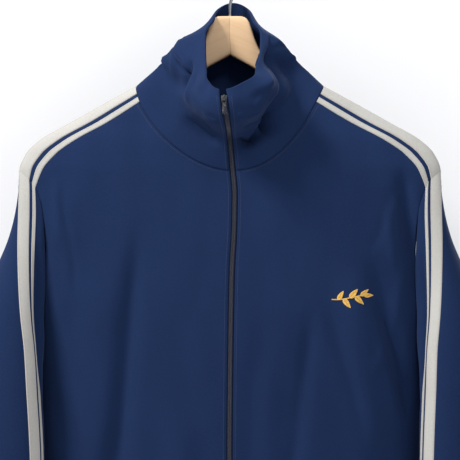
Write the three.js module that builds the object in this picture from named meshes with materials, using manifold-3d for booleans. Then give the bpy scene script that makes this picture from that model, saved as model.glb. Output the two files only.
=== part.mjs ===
// A knitted track jacket, zipped to the top of its stand collar, hanging on a wooden hanger.
// Millimetres. +X is to the right of someone who faces the jacket, +Y goes to its back, +Z is up.
// The origin is the inside top of the hanger's hook, where a rail would carry it.
import * as THREE from "three";
import { mergeVertices } from "three/addons/utils/BufferGeometryUtils.js";
import Module from "manifold-3d";

const manifold = await Module();
manifold.setup();

// Cloth
const KNIT_THICKNESS = 1.6;
const COLLAR_THICKNESS = 2.4;
const BAND_THICKNESS = 2.2;
const TAPE_THICKNESS = 0.6;
const SEAM_GAP = 0.3;
const SEAM_INSET = 0.2;
const NECK_INSET = 0.3;
const COLLAR_INSET = 0.45;
const ARMHOLE_INSET = 0.7;
const SLEEVE_HEAD_INSET = 0.9;

// Heights of the cut, below the hook
const NECK_HEIGHT = -144;
const NECK_HALF_WIDTH = 103;
const NECK_FRONT_DROP = 92.4;
const NECK_BACK_DROP = 7;
const NECK_ROUNDNESS = 1.6;
const SHOULDER_TIP_HEIGHT = -236;
const UNDERARM_HEIGHT = -430;
const HEM_SEAM_HEIGHT = -736;
const HEM_HEIGHT = -792;
const CUFF_SEAM_HEIGHT = -784;
const CUFF_HEIGHT = -848;

// Pale tapes on the shoulder and down the sleeve, measured from the shoulder line towards the front
const BROAD_TAPE = { from: 0, to: 16 };
const NARROW_TAPE = { from: 20.5, to: 27.5 };

// Zip
const ZIP_GAP_HALF = 3.6;
const ZIP_CHAIN_HALF = 2.6;
const ZIP_CHAIN_THICKNESS = 1.8;
const ZIP_TAPE_HALF = 13;
const ZIP_TAPE_THICKNESS = 0.7;

// The body's level sections: how far it reaches to the side, front and back, where its side line lies,
// and how square it is. A minus squareness gives the sharp ridge that lies on the hanger.
const BODY_SECTIONS = [
  { height: -144, half: 103, front: -40, back: 13, side: -15, square: -0.12 },
  { height: -164, half: 139, front: -45, back: 15, side: -20, square: -0.16 },
  { height: -184, half: 174, front: -49, back: 17, side: -25, square: -0.2 },
  { height: -204, half: 208, front: -53, back: 19, side: -30, square: -0.18 },
  { height: -218, half: 222, front: -55, back: 21, side: -32, square: -0.14 },
  { height: -236, half: 229, front: -58, back: 23, side: -34, square: -0.1 },
  { height: -262, half: 228, front: -61, back: 26, side: -33, square: -0.04 },
  { height: -300, half: 224, front: -65, back: 30, side: -31, square: 0.02 },
  { height: -345, half: 219, front: -69, back: 34, side: -28, square: 0.07 },
  { height: -390, half: 215, front: -73, back: 38, side: -25, square: 0.1 },
  { height: -430, half: 213, front: -75, back: 40, side: -22, square: 0.12 },
  { height: -520, half: 213, front: -77, back: 43, side: -19, square: 0.13 },
  { height: -620, half: 211, front: -76, back: 44, side: -17, square: 0.13 },
  { height: -700, half: 208, front: -73, back: 42, side: -16, square: 0.12 },
  { height: -736, half: 203, front: -69, back: 38, side: -16, square: 0.1 },
  { height: -750, half: 200, front: -66, back: 35, side: -16, square: 0.1 },
  { height: -792, half: 198, front: -64, back: 33, side: -16, square: 0.1 },
];

// Where the zip runs, from side to side
const ZIP_LINE = [
  { height: -144, x: -7 },
  { height: -205, x: -1 },
  { height: -237, x: 3 },
  { height: -262, x: 5 },
  { height: -300, x: 4.4 },
  { height: -345, x: 2 },
  { height: -430, x: 0.4 },
  { height: -548, x: -0.6 },
  { height: -792, x: 0 },
];

// Soft troughs (minus) and ridges of the hanging cloth, as straight lines on the front and the back
const BODY_FOLDS = [
  { face: "front", x: -107, top: -300, toX: -132, bottom: -700, width: 17, out: -5 },
  { face: "front", x: -142, top: -330, toX: -168, bottom: -640, width: 19, out: 3 },
  { face: "front", x: -172, top: -235, toX: -180, bottom: -420, width: 13, out: 2.5 },
  { face: "front", x: 152, top: -318, toX: 196, bottom: -520, width: 12, out: -6.5 },
  { face: "front", x: 128, top: -330, toX: 158, bottom: -560, width: 18, out: 3.5 },
  { face: "front", x: 187, top: -226, toX: 197, bottom: -345, width: 8, out: -3.5 },
  { face: "front", x: 62, top: -430, toX: 58, bottom: -720, width: 14, out: -3.5 },
  { face: "front", x: -48, top: -480, toX: -62, bottom: -720, width: 18, out: 3 },
  { face: "back", x: -88, top: -200, toX: -124, bottom: -730, width: 28, out: -6 },
  { face: "back", x: 20, top: -340, toX: 8, bottom: -730, width: 34, out: 4 },
  { face: "back", x: 80, top: -210, toX: 116, bottom: -720, width: 26, out: -6.5 },
];

// The armhole from the shoulder tip (0) to the underarm (180): how far it is cut in, in degrees of the
// section
const ARMHOLE = [
  { around: 0, front: 0, back: 0 },
  { around: 33, front: 19, back: 17 },
  { around: 56, front: 25, back: 22 },
  { around: 82, front: 26, back: 23 },
  { around: 105, front: 20.5, back: 20 },
  { around: 128, front: 11, back: 12 },
  { around: 154, front: 4.5, back: 5 },
  { around: 180, front: 0, back: 0 },
];

// The hanging sleeve's level sections: the middle, the half sizes along and across, and how far the edge
// that carries the tapes is turned forward
const SLEEVE_SECTIONS = [
  { height: -236, out: 229, y: -34, along: 6, across: 5, turn: 62 },
  { height: -262, out: 231.5, y: -31, along: 17, across: 12, turn: 62 },
  { height: -290, out: 235, y: -28, along: 27, across: 18, turn: 60 },
  { height: -343, out: 241.5, y: -31, along: 38, across: 26, turn: 52 },
  { height: -396, out: 248, y: -39, along: 46, across: 31, turn: 41 },
  { height: -430, out: 251, y: -43, along: 51, across: 32.5, turn: 35 },
  { height: -476, out: 254, y: -48, along: 55, across: 33, turn: 30 },
  { height: -546, out: 255, y: -51, along: 58, across: 33, turn: 26 },
  { height: -650, out: 254, y: -48, along: 56, across: 31, turn: 23 },
  { height: -735, out: 253, y: -45, along: 51, across: 29, turn: 21 },
  { height: -765, out: 252, y: -43, along: 47, across: 27, turn: 20 },
  { height: -784, out: 252, y: -42, along: 39, across: 21.5, turn: 20 },
  { height: -796, out: 252, y: -42, along: 37.5, across: 20, turn: 20 },
  { height: -848, out: 252, y: -41, along: 37, across: 19.5, turn: 20 },
];
const SLEEVE_SQUARE = 0.08;
// How the head of the sleeve meets its sections: angle round the armhole against angle round the section
const SLEEVE_HEAD = [
  { around: 0, section: 25 },
  { around: 60, section: -15 },
  { around: 120, section: -58 },
  { around: 180, section: -95 },
  { around: 270, section: -175 },
  { around: 360, section: -335 },
];
const SLEEVE_HEAD_REACH = 0.34;
// The sleeve keeps clear of the body, and its seam at the underarm lies outside the body's
const SLEEVE_CLEARANCE = 3.8;
const UNDERARM_LIFT = 2.1;
const SLEEVE_SEAM_SHIFT = 1.5;
// The sleeve on each side hangs a little differently
const SLEEVE_SPLAY = { left: 5, right: 1, from: -330, to: -560 };
const SLEEVE_FOLDS = [
  { around: 58, width: 15, from: 0.07, to: 0.42, out: -7 },
  { around: 318, width: 12, from: 0.34, to: 0.8, out: -4 },
  { around: 296, width: 12, from: 0.42, to: 0.97, out: 3.5 },
  { around: 342, width: 9, from: 0.62, to: 0.99, out: -3 },
];

// The collar above its seam: rings through the place where it turns up, its fullest part and its top edge
const COLLAR_RINGS = [
  {
    name: "turn", middle: 1, half: 73, sideY: -17, sideZ: -116, frontX: 0, frontY: -64, frontZ: -205,
    backY: 16, backZ: -116, frontRoundness: 1.35, backRoundness: 1.35,
  },
  {
    name: "full", middle: 1.5, half: 52, sideY: -27, sideZ: -93, frontX: -4, frontY: -101, frontZ: -178,
    backY: 17, backZ: -80, frontRoundness: 1, backRoundness: 1.2,
  },
  {
    name: "top", middle: 3.5, half: 30, sideY: -31, sideZ: -85, frontX: -8, frontY: -95, frontZ: -151,
    backY: 13, backZ: -48, frontRoundness: 0.72, backRoundness: 1.3,
  },
];
const COLLAR_FOLDS = [
  { around: 52, lean: -10, width: 10, from: 0.3, to: 1.05, out: 10 },
  { around: 76, lean: -8, width: 9, from: 0.25, to: 0.98, out: -14 },
  { around: -62, lean: 18, width: 9, from: 0.35, to: 0.95, out: -5 },
  { around: -84, lean: 10, width: 9, from: 0.3, to: 0.9, out: 4 },
  { around: 28, lean: 20, width: 12, from: 0.2, to: 0.62, out: -5 },
  { around: -24, lean: -12, width: 14, from: 0.2, to: 0.55, out: -4 },
];

// Hanger
const HANGER_THICKNESS = 11;
const HANGER_ROUNDING = 3.6;
const HANGER_BEND = 0.145;
const HANGER_TOP = -64;
const HANGER_BELLY = -107;
const HANGER_ARM_TOP = -149.4;
const HANGER_ARM_SLOPE = 0.565;
const HOOK_WIRE_RADIUS = 1.7;
const HOOK_RADIUS = 19;

const toRadians = THREE.MathUtils.degToRad;
const { lerp, clamp, smoothstep } = THREE.MathUtils;

// A smooth curve through the rows of a table: every column but the first, as a function of the first.
function throughRows(rows, by) {
  const sorted = [...rows].sort((a, b) => a[by] - b[by]);
  const at = sorted.map((row) => row[by]);
  const columns = Object.keys(sorted[0]).filter((name) => name !== by);
  const slopes = {};
  for (const name of columns) {
    const rise = sorted.slice(1).map((row, i) => (row[name] - sorted[i][name]) / (at[i + 1] - at[i]));
    slopes[name] = sorted.map((row, i) => {
      if (i === 0) return rise[0];
      if (i === sorted.length - 1) return rise[i - 1];
      const before = rise[i - 1];
      const after = rise[i];
      return before * after <= 0 ? 0 : (2 * before * after) / (before + after);
    });
  }
  return (x) => {
    const inside = clamp(x, at[0], at[at.length - 1]);
    let i = 0;
    while (i < at.length - 2 && inside > at[i + 1]) i += 1;
    const width = at[i + 1] - at[i];
    const t = (inside - at[i]) / width;
    const result = {};
    for (const name of columns) {
      const a = sorted[i][name];
      const b = sorted[i + 1][name];
      const slopeA = slopes[name][i] * width;
      const slopeB = slopes[name][i + 1] * width;
      const bend = (2 * t ** 3 - 3 * t ** 2 + 1) * a + (t ** 3 - 2 * t ** 2 + t) * slopeA;
      result[name] = bend + (3 * t ** 2 - 2 * t ** 3) * b + (t ** 3 - t ** 2) * slopeB;
    }
    return result;
  };
}

const bodySection = throughRows(BODY_SECTIONS, "height");
const zipLine = throughRows(ZIP_LINE, "height");
const armholeInset = throughRows(ARMHOLE, "around");
const sleeveSection = throughRows(SLEEVE_SECTIONS, "height");
const sleeveHead = throughRows(SLEEVE_HEAD, "around");

// A bump that is 1 in the middle and fades out over about two widths.
const bump = (distance, width) => Math.exp(-((distance / width) ** 2));
// 1 between two ends and fading at both.
function between(value, from, to) {
  const fade = 0.28 * (to - from);
  return smoothstep(value, from, from + fade) * (1 - smoothstep(value, to - fade, to));
}

// The sine-like side reach of a section, and its inverse.
const reachOf = (sine, square) => sine * (1 + square * (1 - sine * sine));
function turnOf(share, square) {
  let sine = clamp(share, 0, 1);
  for (let i = 0; i < 8; i += 1) {
    const slope = 1 + square - 3 * square * sine * sine;
    sine = clamp(sine - (reachOf(sine, square) - share) / Math.max(slope, 0.2), 0, 1);
  }
  return THREE.MathUtils.radToDeg(Math.asin(sine));
}

// A point of the body's cloth. turn is 0 at the zip, 90 at the +X side, 180 at the centre back.
function body(turn, height) {
  const section = bodySection(height);
  const sine = Math.sin(toRadians(turn));
  const cosine = Math.cos(toRadians(turn));
  const isFront = cosine >= 0;
  const middle = isFront ? zipLine(height).x * cosine * cosine : 0;
  const x = section.half * reachOf(sine, section.square) + middle;
  const reach = isFront ? section.front : section.back;
  const depth = reachOf(Math.abs(cosine), section.square);
  let y = section.side + (reach - section.side) * depth;
  const facing = smoothstep(Math.abs(cosine), 0.05, 0.5) * (isFront ? -1 : 1);
  for (const fold of BODY_FOLDS) {
    if ((fold.face === "front") !== isFront) continue;
    const down = (fold.top - height) / (fold.top - fold.bottom);
    const across = x - lerp(fold.x, fold.toX, down);
    y += facing * fold.out * bump(across, fold.width) * between(down, 0, 1);
  }
  return new THREE.Vector3(x, y, height);
}

// The neck seam, on the body: around is 0 at the zip, 90 at the +X shoulder line, 180 at the centre back.
function neckSeam(around) {
  const sine = Math.sin(toRadians(around));
  const cosine = Math.cos(toRadians(around));
  const drop = (cosine >= 0 ? NECK_FRONT_DROP : NECK_BACK_DROP) * Math.abs(cosine) ** NECK_ROUNDNESS;
  const height = NECK_HEIGHT - drop;
  const section = bodySection(height);
  const turn = turnOf((NECK_HALF_WIDTH * Math.abs(sine)) / section.half, section.square);
  const signed = (cosine >= 0 ? turn : 180 - turn) * Math.sign(sine || 1);
  return { turn: signed, height };
}

// The armhole seam, on the body: around is 0 at the shoulder tip, 90 in front, 180 at the underarm and
// 270 behind.
function armholeSeam(around) {
  const height = lerp(UNDERARM_HEIGHT, SHOULDER_TIP_HEIGHT, (1 + Math.cos(toRadians(around))) / 2);
  const isFront = around <= 180;
  const inset = armholeInset(isFront ? around : 360 - around);
  return { turn: isFront ? 90 - inset.front : 90 + inset.back, height };
}
const armholePoint = (side, around) => {
  const { turn, height } = armholeSeam(around);
  return body(side * turn, height);
};
// The sleeve's own edge lies a little outside the armhole's where the two meet at a sharp angle
const sleeveHeadPoint = (side, around) => {
  const { turn, height } = armholeSeam(around);
  const shift = SLEEVE_SEAM_SHIFT * Math.sin(toRadians(around)) ** 7;
  return body(side * (turn + shift), height);
};

// A point of the sleeve's hanging tube at one height.
function sleeveTube(side, around, height) {
  const section = sleeveSection(height);
  const angle = toRadians(sleeveHead(around).section);
  const turn = toRadians(section.turn);
  const hanging = 1 - smoothstep(height, SLEEVE_SPLAY.to, SLEEVE_SPLAY.from);
  const splay = (side > 0 ? SLEEVE_SPLAY.left : SLEEVE_SPLAY.right) * hanging;
  const cosine = Math.cos(angle);
  const sine = Math.sin(angle);
  const along = section.along * reachOf(cosine, SLEEVE_SQUARE);
  const across = section.across * reachOf(sine, SLEEVE_SQUARE);
  const out = section.out + splay - along * Math.cos(turn) + across * Math.sin(turn);
  const y = section.y - along * Math.sin(turn) - across * Math.cos(turn);
  return new THREE.Vector3(side * out, y, height);
}

// Moves a point straight out from the middle of the body until it is a given distance outside its cloth.
function clearOfBody(point, distance) {
  const side = Math.sign(point.x);
  const middle = bodySection(point.z).side;
  const bearing = (p) => Math.atan2(Math.abs(p.x), middle - p.y);
  const reach = (p) => Math.hypot(p.x, p.y - middle);
  let low = 0;
  let high = 180;
  for (let i = 0; i < 16; i += 1) {
    const turn = (low + high) / 2;
    if (bearing(body(side * turn, point.z)) < bearing(point)) low = turn;
    else high = turn;
  }
  const missing = distance - (reach(point) - reach(body(side * low, point.z)));
  if (missing <= 0) return point;
  const outwards = new THREE.Vector3(point.x, point.y - middle, 0).normalize();
  return point.addScaledVector(outwards, missing);
}

// A point of the sleeve. down is 0 at the armhole and 1 at the cuff's seam.
function sleeve(side, around, down) {
  const head = sleeveHeadPoint(side, around);
  const height = lerp(head.z, CUFF_SEAM_HEIGHT, down);
  const point = sleeveTube(side, around, height);
  const pull = (1 - smoothstep(down, 0, SLEEVE_HEAD_REACH)) ** 1.5;
  point.add(head.clone().sub(sleeveTube(side, around, head.z)).multiplyScalar(pull));
  const section = sleeveSection(height);
  const centre = new THREE.Vector3(side * section.out, section.y, height);
  const away = point.clone().sub(centre).setZ(0).normalize();
  for (const fold of SLEEVE_FOLDS) {
    const size = fold.out * bump(around - fold.around, fold.width) * between(down, fold.from, fold.to);
    point.addScaledVector(away, size);
  }
  const lift = UNDERARM_LIFT * smoothstep(-Math.cos(toRadians(around)), -0.75, 0.15);
  return clearOfBody(point, lerp(lift, SLEEVE_CLEARANCE, smoothstep(down, -0.02, 0.07)));
}

// A point on a smooth line through a few points, at a share of its chords' length.
function alongPoints(points, share) {
  const knots = [0];
  for (let i = 1; i < points.length; i += 1) knots.push(knots[i - 1] + points[i].distanceTo(points[i - 1]));
  const x = clamp(share, 0, 1) * knots[knots.length - 1];
  const slope = (i) => {
    if (i === 0) return points[1].clone().sub(points[0]).divideScalar(knots[1]);
    if (i === points.length - 1) {
      return points[i].clone().sub(points[i - 1]).divideScalar(knots[i] - knots[i - 1]);
    }
    const before = points[i].clone().sub(points[i - 1]).divideScalar(knots[i] - knots[i - 1]);
    const after = points[i + 1].clone().sub(points[i]).divideScalar(knots[i + 1] - knots[i]);
    const weight = (knots[i] - knots[i - 1]) / (knots[i + 1] - knots[i - 1]);
    return before.multiplyScalar(1 - weight).addScaledVector(after, weight);
  };
  let i = 0;
  while (i < knots.length - 2 && x > knots[i + 1]) i += 1;
  const width = knots[i + 1] - knots[i];
  const t = (x - knots[i]) / width;
  return points[i].clone().multiplyScalar(2 * t ** 3 - 3 * t ** 2 + 1)
    .addScaledVector(slope(i), (t ** 3 - 2 * t ** 2 + t) * width)
    .addScaledVector(points[i + 1], 3 * t ** 2 - 2 * t ** 3)
    .addScaledVector(slope(i + 1), (t ** 3 - t ** 2) * width);
}

function collarRing(ring, around) {
  const sine = Math.sin(toRadians(around));
  const cosine = Math.cos(toRadians(around));
  const isFront = cosine >= 0;
  const weight = Math.abs(cosine) ** (isFront ? ring.frontRoundness : ring.backRoundness);
  const x = ring.middle + ring.half * sine + (isFront ? (ring.frontX - ring.middle) * cosine ** 2 : 0);
  const y = lerp(ring.sideY, isFront ? ring.frontY : ring.backY, weight);
  const z = lerp(ring.sideZ, isFront ? ring.frontZ : ring.backZ, weight);
  return new THREE.Vector3(x, y, z);
}

// A point of the collar. around is 0 at the zip, 90 at the +X side and 180 behind; up is 0 at its seam and
// 1 at its top.
function collar(around, up) {
  const seam = neckSeam(around);
  const points = [body(seam.turn, seam.height)];
  for (const ring of COLLAR_RINGS) points.push(collarRing(ring, around));
  const point = alongPoints(points, up);
  const away = new THREE.Vector3(Math.sin(toRadians(around)), -Math.cos(toRadians(around)), 0);
  for (const fold of COLLAR_FOLDS) {
    const middle = fold.around + fold.lean * (up - 0.6);
    const size = fold.out * bump(around - middle, fold.width) * between(up, fold.from, fold.to);
    point.addScaledVector(away, size);
  }
  return point;
}

// The zip's line, from the hem (0) to the top of the collar (1), and the cloth to both sides of it.
const ZIP_BODY_SHARE = 0.85;
function besideZip(across, share) {
  if (share <= ZIP_BODY_SHARE) {
    const height = lerp(HEM_HEIGHT, NECK_HEIGHT - NECK_FRONT_DROP, share / ZIP_BODY_SHARE);
    return body(turnBesideZip(across, height), height);
  }
  const up = (share - ZIP_BODY_SHARE) / (1 - ZIP_BODY_SHARE);
  return collar(aroundBesideZip(across, up), up);
}
function turnBesideZip(across, height) {
  const section = bodySection(height);
  return Math.sign(across) * turnOf(Math.abs(across) / section.half, section.square);
}
function aroundBesideZip(across, up) {
  const half = lerp(NECK_HALF_WIDTH, COLLAR_RINGS[COLLAR_RINGS.length - 1].half, up ** 0.8);
  return THREE.MathUtils.radToDeg(Math.asin(across / half));
}

// Distances along a curve: a function from a distance to the curve's own parameter.
function byDistance(curve, from, to, steps = 160) {
  const lengths = [0];
  const at = [from];
  let last = curve(from);
  for (let i = 1; i <= steps; i += 1) {
    const parameter = lerp(from, to, i / steps);
    const point = curve(parameter);
    lengths.push(lengths[i - 1] + point.distanceTo(last));
    at.push(parameter);
    last = point;
  }
  const parameterAt = (distance) => {
    let i = 1;
    while (i < steps && lengths[i] < distance) i += 1;
    const t = (distance - lengths[i - 1]) / (lengths[i] - lengths[i - 1]);
    return lerp(at[i - 1], at[i], clamp(t, 0, 1));
  };
  return { parameterAt, length: lengths[steps] };
}

const spread = (count, from = 0, to = 1) =>
  Array.from({ length: count + 1 }, (_, i) => lerp(from, to, i / count));

// Moves the edges of a sheet of points inwards, so that neighbours keep a gap at their seam.
function insetEdges(rows, { first = 0, last = 0, start = 0, end = 0 }) {
  const towards = (a, b, distance) => a.clone().add(b.clone().sub(a).setLength(distance));
  const moved = rows.map((row) => row.map((point) => point.clone()));
  const bottom = rows.length - 1;
  const right = rows[0].length - 1;
  if (start || end) {
    moved.forEach((row) => {
      if (start) row[0] = towards(row[0], row[1], start);
      if (end) row[right] = towards(row[right], row[right - 1], end);
    });
  }
  const copy = moved.map((row) => row.map((point) => point.clone()));
  if (first) moved[0] = copy[0].map((point, j) => towards(point, copy[1][j], first));
  if (last) moved[bottom] = copy[bottom].map((point, j) => towards(point, copy[bottom - 1][j], last));
  return moved;
}

// A sheet of a surface: its points in rows, each with the direction square to the surface.
function sheetOf(surface, places, { stepA, stepB }) {
  const points = places.map((row) => row.map(([a, b]) => surface(a, b)));
  const normals = places.map((row) => row.map(([a, b]) => {
    const across = surface(a + stepA, b).sub(surface(a - stepA, b));
    const along = surface(a, b + stepB).sub(surface(a, b - stepB));
    return across.cross(along).normalize();
  }));
  return { points, normals };
}
const bodySheet = (places) => sheetOf(body, places, { stepA: 0.4, stepB: 0.4 });
const sliceOf = (sheet, cut) => ({ points: cut(sheet.points), normals: cut(sheet.normals) });

function geometryOf(points, triangles) {
  const geometry = new THREE.BufferGeometry();
  const numbers = points.flatMap((p) => [p.x, p.y, p.z]);
  geometry.setAttribute("position", new THREE.Float32BufferAttribute(numbers, 3));
  geometry.setIndex(triangles.flat());
  return geometry;
}

// A closed wall of cloth on a sheet: its skins lie at two distances along the sheet's normals.
function wall({ points, normals }, { inner, outer, closed = false, firstRow = 1 }) {
  const columns = points[0].length;
  const skin = (distance) => points.flatMap((row, i) => row.map((point, j) =>
    point.clone().addScaledVector(normals[i][j], i === 0 ? distance * firstRow : distance)));
  const layer = points.length * columns;
  const at = (i, j, isInner) => i * columns + (j % columns) + (isInner ? layer : 0);
  const triangles = [];
  const quad = (a, b, c, d) => triangles.push([a, b, c], [a, c, d]);
  const across = closed ? columns : columns - 1;
  const last = points.length - 1;
  for (let i = 0; i < last; i += 1) {
    for (let j = 0; j < across; j += 1) {
      quad(at(i, j), at(i, j + 1), at(i + 1, j + 1), at(i + 1, j));
      quad(at(i, j, true), at(i + 1, j, true), at(i + 1, j + 1, true), at(i, j + 1, true));
    }
  }
  for (let j = 0; j < across; j += 1) {
    quad(at(0, j), at(0, j, true), at(0, j + 1, true), at(0, j + 1));
    quad(at(last, j), at(last, j + 1), at(last, j + 1, true), at(last, j, true));
  }
  for (let i = 0; i < last && !closed; i += 1) {
    quad(at(i, 0), at(i + 1, 0), at(i + 1, 0, true), at(i, 0, true));
    const end = columns - 1;
    quad(at(i, end), at(i, end, true), at(i + 1, end, true), at(i + 1, end));
  }
  const middle = Math.floor(last / 2);
  const face = points[middle][1].clone().sub(points[middle][0])
    .cross(points[middle + 1][0].clone().sub(points[middle][0]));
  if (face.dot(normals[middle][0]) < 0) triangles.forEach((triangle) => triangle.reverse());
  return geometryOf([...skin(outer), ...skin(inner)], triangles);
}

const centredWall = (sheet, thickness, options = {}) =>
  wall(sheet, { inner: -thickness / 2, outer: thickness / 2, ...options });

// A tape on a wall: the same points, moved out past the wall's own skin.
function tapeOn(sheet) {
  const inner = KNIT_THICKNESS / 2 + SEAM_GAP;
  return wall(sheet, { inner, outer: inner + TAPE_THICKNESS });
}

// Front panels. The rows from the neck end this far down the armhole.
const NECK_ROWS_REACH = 0.62;
const FRONT_COLUMNS = spread(14).map((share) => 1 - (1 - share) ** 1.15);
const TAPE_EDGES = [BROAD_TAPE.from, BROAD_TAPE.to / 2, BROAD_TAPE.to, NARROW_TAPE.from, NARROW_TAPE.to];
const neckLength = byDistance((around) => {
  const seam = neckSeam(around);
  return body(seam.turn, seam.height);
}, 90, aroundBesideZip(ZIP_GAP_HALF, 0));
const NECK_STEPS = [...TAPE_EDGES, ...spread(9, NARROW_TAPE.to, neckLength.length).slice(1)];
const armholeLength = byDistance((around) => armholePoint(1, around), 0, 180);

// Each row of a front panel: its end at the neck or zip, and its end at the armhole or side.
function frontPanelRows() {
  const rows = [];
  const armholeEnd = armholeLength.length;
  const reached = NECK_ROWS_REACH * armholeEnd;
  NECK_STEPS.forEach((neck) => {
    const around = neckLength.parameterAt(neck);
    const start = neckSeam(around);
    start.height -= NECK_INSET * Math.cos(toRadians(around));
    const share = Math.max((neck - NARROW_TAPE.to) / (neckLength.length - NARROW_TAPE.to), 0);
    const armhole = lerp(Math.min(neck, NARROW_TAPE.to), reached, share);
    rows.push({ start, end: armholeSeam(armholeLength.parameterAt(armhole)) });
  });
  const neckFront = NECK_HEIGHT - NECK_FRONT_DROP;
  spread(4).slice(1).forEach((step) => {
    const share = step ** 1.5;
    const height = lerp(neckFront, UNDERARM_HEIGHT, share);
    const end = armholeSeam(armholeLength.parameterAt(lerp(reached, armholeEnd, share)));
    rows.push({ start: { turn: turnBesideZip(ZIP_GAP_HALF, height), height }, end });
  });
  spread(8).slice(1).forEach((share) => {
    const height = lerp(UNDERARM_HEIGHT, HEM_SEAM_HEIGHT, share);
    rows.push({ start: { turn: turnBesideZip(ZIP_GAP_HALF, height), height }, end: { turn: 90, height } });
  });
  return rows;
}

function frontPanel(side) {
  return bodySheet(frontPanelRows().map(({ start, end }) => FRONT_COLUMNS.map((share) =>
    [side * lerp(start.turn, end.turn, share), lerp(start.height, end.height, share)])));
}

// The back panel: its rows run from side to side, and the first one follows the shoulders and the neck.
const BACK_NECK_COLUMNS = 5;
const BACK_SHOULDER_COLUMNS = 9;
const BACK_NARROWING = 0.31;
function backPanel() {
  const half = [];
  const armholeEnd = armholeLength.length;
  const narrowed = (turn, share) => 180 - (180 - turn) * lerp(1, BACK_NARROWING, share);
  spread(9).forEach((share) => {
    const down = share ** 1.35;
    const neck = (around) => {
      const seam = neckSeam(around);
      return [narrowed(seam.turn, down), lerp(seam.height, UNDERARM_HEIGHT, down)];
    };
    const end = armholeSeam(360 - armholeLength.parameterAt(armholeEnd * down));
    half.push({ neck, end: [end.turn, end.height] });
  });
  spread(8).slice(1).forEach((share) => {
    const height = lerp(UNDERARM_HEIGHT, HEM_SEAM_HEIGHT, share);
    half.push({ neck: (around) => [narrowed(neckSeam(around).turn, 1), height], end: [90, height] });
  });
  return bodySheet(half.map(({ neck, end }) => {
    const shoulder = neck(90);
    const right = [
      ...spread(BACK_NECK_COLUMNS, 180, 90).slice(0, -1).map(neck),
      ...spread(BACK_SHOULDER_COLUMNS).map((share) =>
        [lerp(shoulder[0], end[0], share), lerp(shoulder[1], end[1], share)]),
    ];
    return [...right.slice(1).reverse().map(([turn, height]) => [-turn, height]), ...right];
  }));
}

// Sleeves: the first columns follow the tapes' edges, and the rest share out the cloth behind them.
const SLEEVE_ROWS = spread(17).map((share) => share ** 1.15);
const SLEEVE_COLUMNS_AFTER = 18;
function sleevePanel(side) {
  const surface = (around, down) => sleeve(side, around, down);
  const places = SLEEVE_ROWS.map((down) => {
    const ring = byDistance((around) => surface(around, down), 0, 180, 90);
    const edges = TAPE_EDGES.map((edge) => ring.parameterAt(edge));
    const rest = spread(SLEEVE_COLUMNS_AFTER, edges[edges.length - 1], 360).slice(1, -1);
    return [...edges, ...rest].map((around) => [around, down]);
  });
  return sheetOf(surface, places, { stepA: side * 0.8, stepB: 0.002 });
}

const CUFF_ROWS = [CUFF_SEAM_HEIGHT - SEAM_INSET, -796, -822, CUFF_HEIGHT];
function cuffPanel(side) {
  const surface = (around, height) => sleeveTube(side, around, height);
  const ring = spread(24, 0, 360).slice(0, -1);
  const places = CUFF_ROWS.map((height) => ring.map((around) => [around, height]));
  return sheetOf(surface, places, { stepA: side * -0.8, stepB: 0.5 });
}

// Collar
const COLLAR_ROWS = spread(12);
const COLLAR_FRONT = 40;
const NECK_AROUND = NECK_STEPS.map((neck) => neckLength.parameterAt(neck)).reverse();
const COLLAR_COLUMNS = [
  ...NECK_AROUND, ...spread(10, 90, 270).slice(1, -1),
  ...NECK_AROUND.map((around) => 360 - around).reverse(),
];
function collarPanel() {
  const edge = aroundBesideZip(ZIP_GAP_HALF, 0);
  return sheetOf(collar, COLLAR_ROWS.map((up) => {
    const extra = aroundBesideZip(ZIP_GAP_HALF, up) - edge;
    return COLLAR_COLUMNS.map((around) => {
      const signed = around > 180 ? around - 360 : around;
      const trim = extra * clamp((COLLAR_FRONT - Math.abs(signed)) / (COLLAR_FRONT - edge), 0, 1);
      return [signed + Math.sign(signed) * trim, up];
    });
  }), { stepA: 0.5, stepB: 0.004 });
}

const HEM_ROWS = [HEM_SEAM_HEIGHT - SEAM_INSET, -750, -771, HEM_HEIGHT];
function hemBand() {
  const edge = turnBesideZip(ZIP_GAP_HALF, HEM_HEIGHT);
  return bodySheet(HEM_ROWS.map((height) =>
    spread(44, edge, 360 - edge).map((turn) => [turn > 180 ? turn - 360 : turn, height])));
}

// A strip along the zip: its rows are closer together on the curved collar.
const ZIP_ROWS = [
  ...spread(26, 0.002, ZIP_BODY_SHARE), ...spread(14, ZIP_BODY_SHARE, 0.99).slice(1),
];
function zipStrip({ rows, across, inner, outer }) {
  const places = rows.map((share) => across.map((place) => [place, share]));
  return wall(sheetOf(besideZip, places, { stepA: 0.5, stepB: 0.004 }), { inner, outer });
}

const MERGE_DISTANCE = 1e-3;
const toManifold = (geometry) => {
  const bare = geometry.clone();
  ["normal", "uv"].forEach((name) => bare.deleteAttribute(name));
  const merged = mergeVertices(bare, MERGE_DISTANCE);
  return new manifold.Manifold(new manifold.Mesh({
    numProp: 3,
    vertProperties: merged.attributes.position.array,
    triVerts: new Uint32Array(merged.index.array),
  }));
};
const fromManifold = (solid) => {
  const mesh = solid.getMesh();
  const geometry = new THREE.BufferGeometry();
  geometry.setAttribute("position", new THREE.BufferAttribute(mesh.vertProperties, 3));
  geometry.setIndex(new THREE.BufferAttribute(mesh.triVerts, 1));
  return geometry;
};

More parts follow.
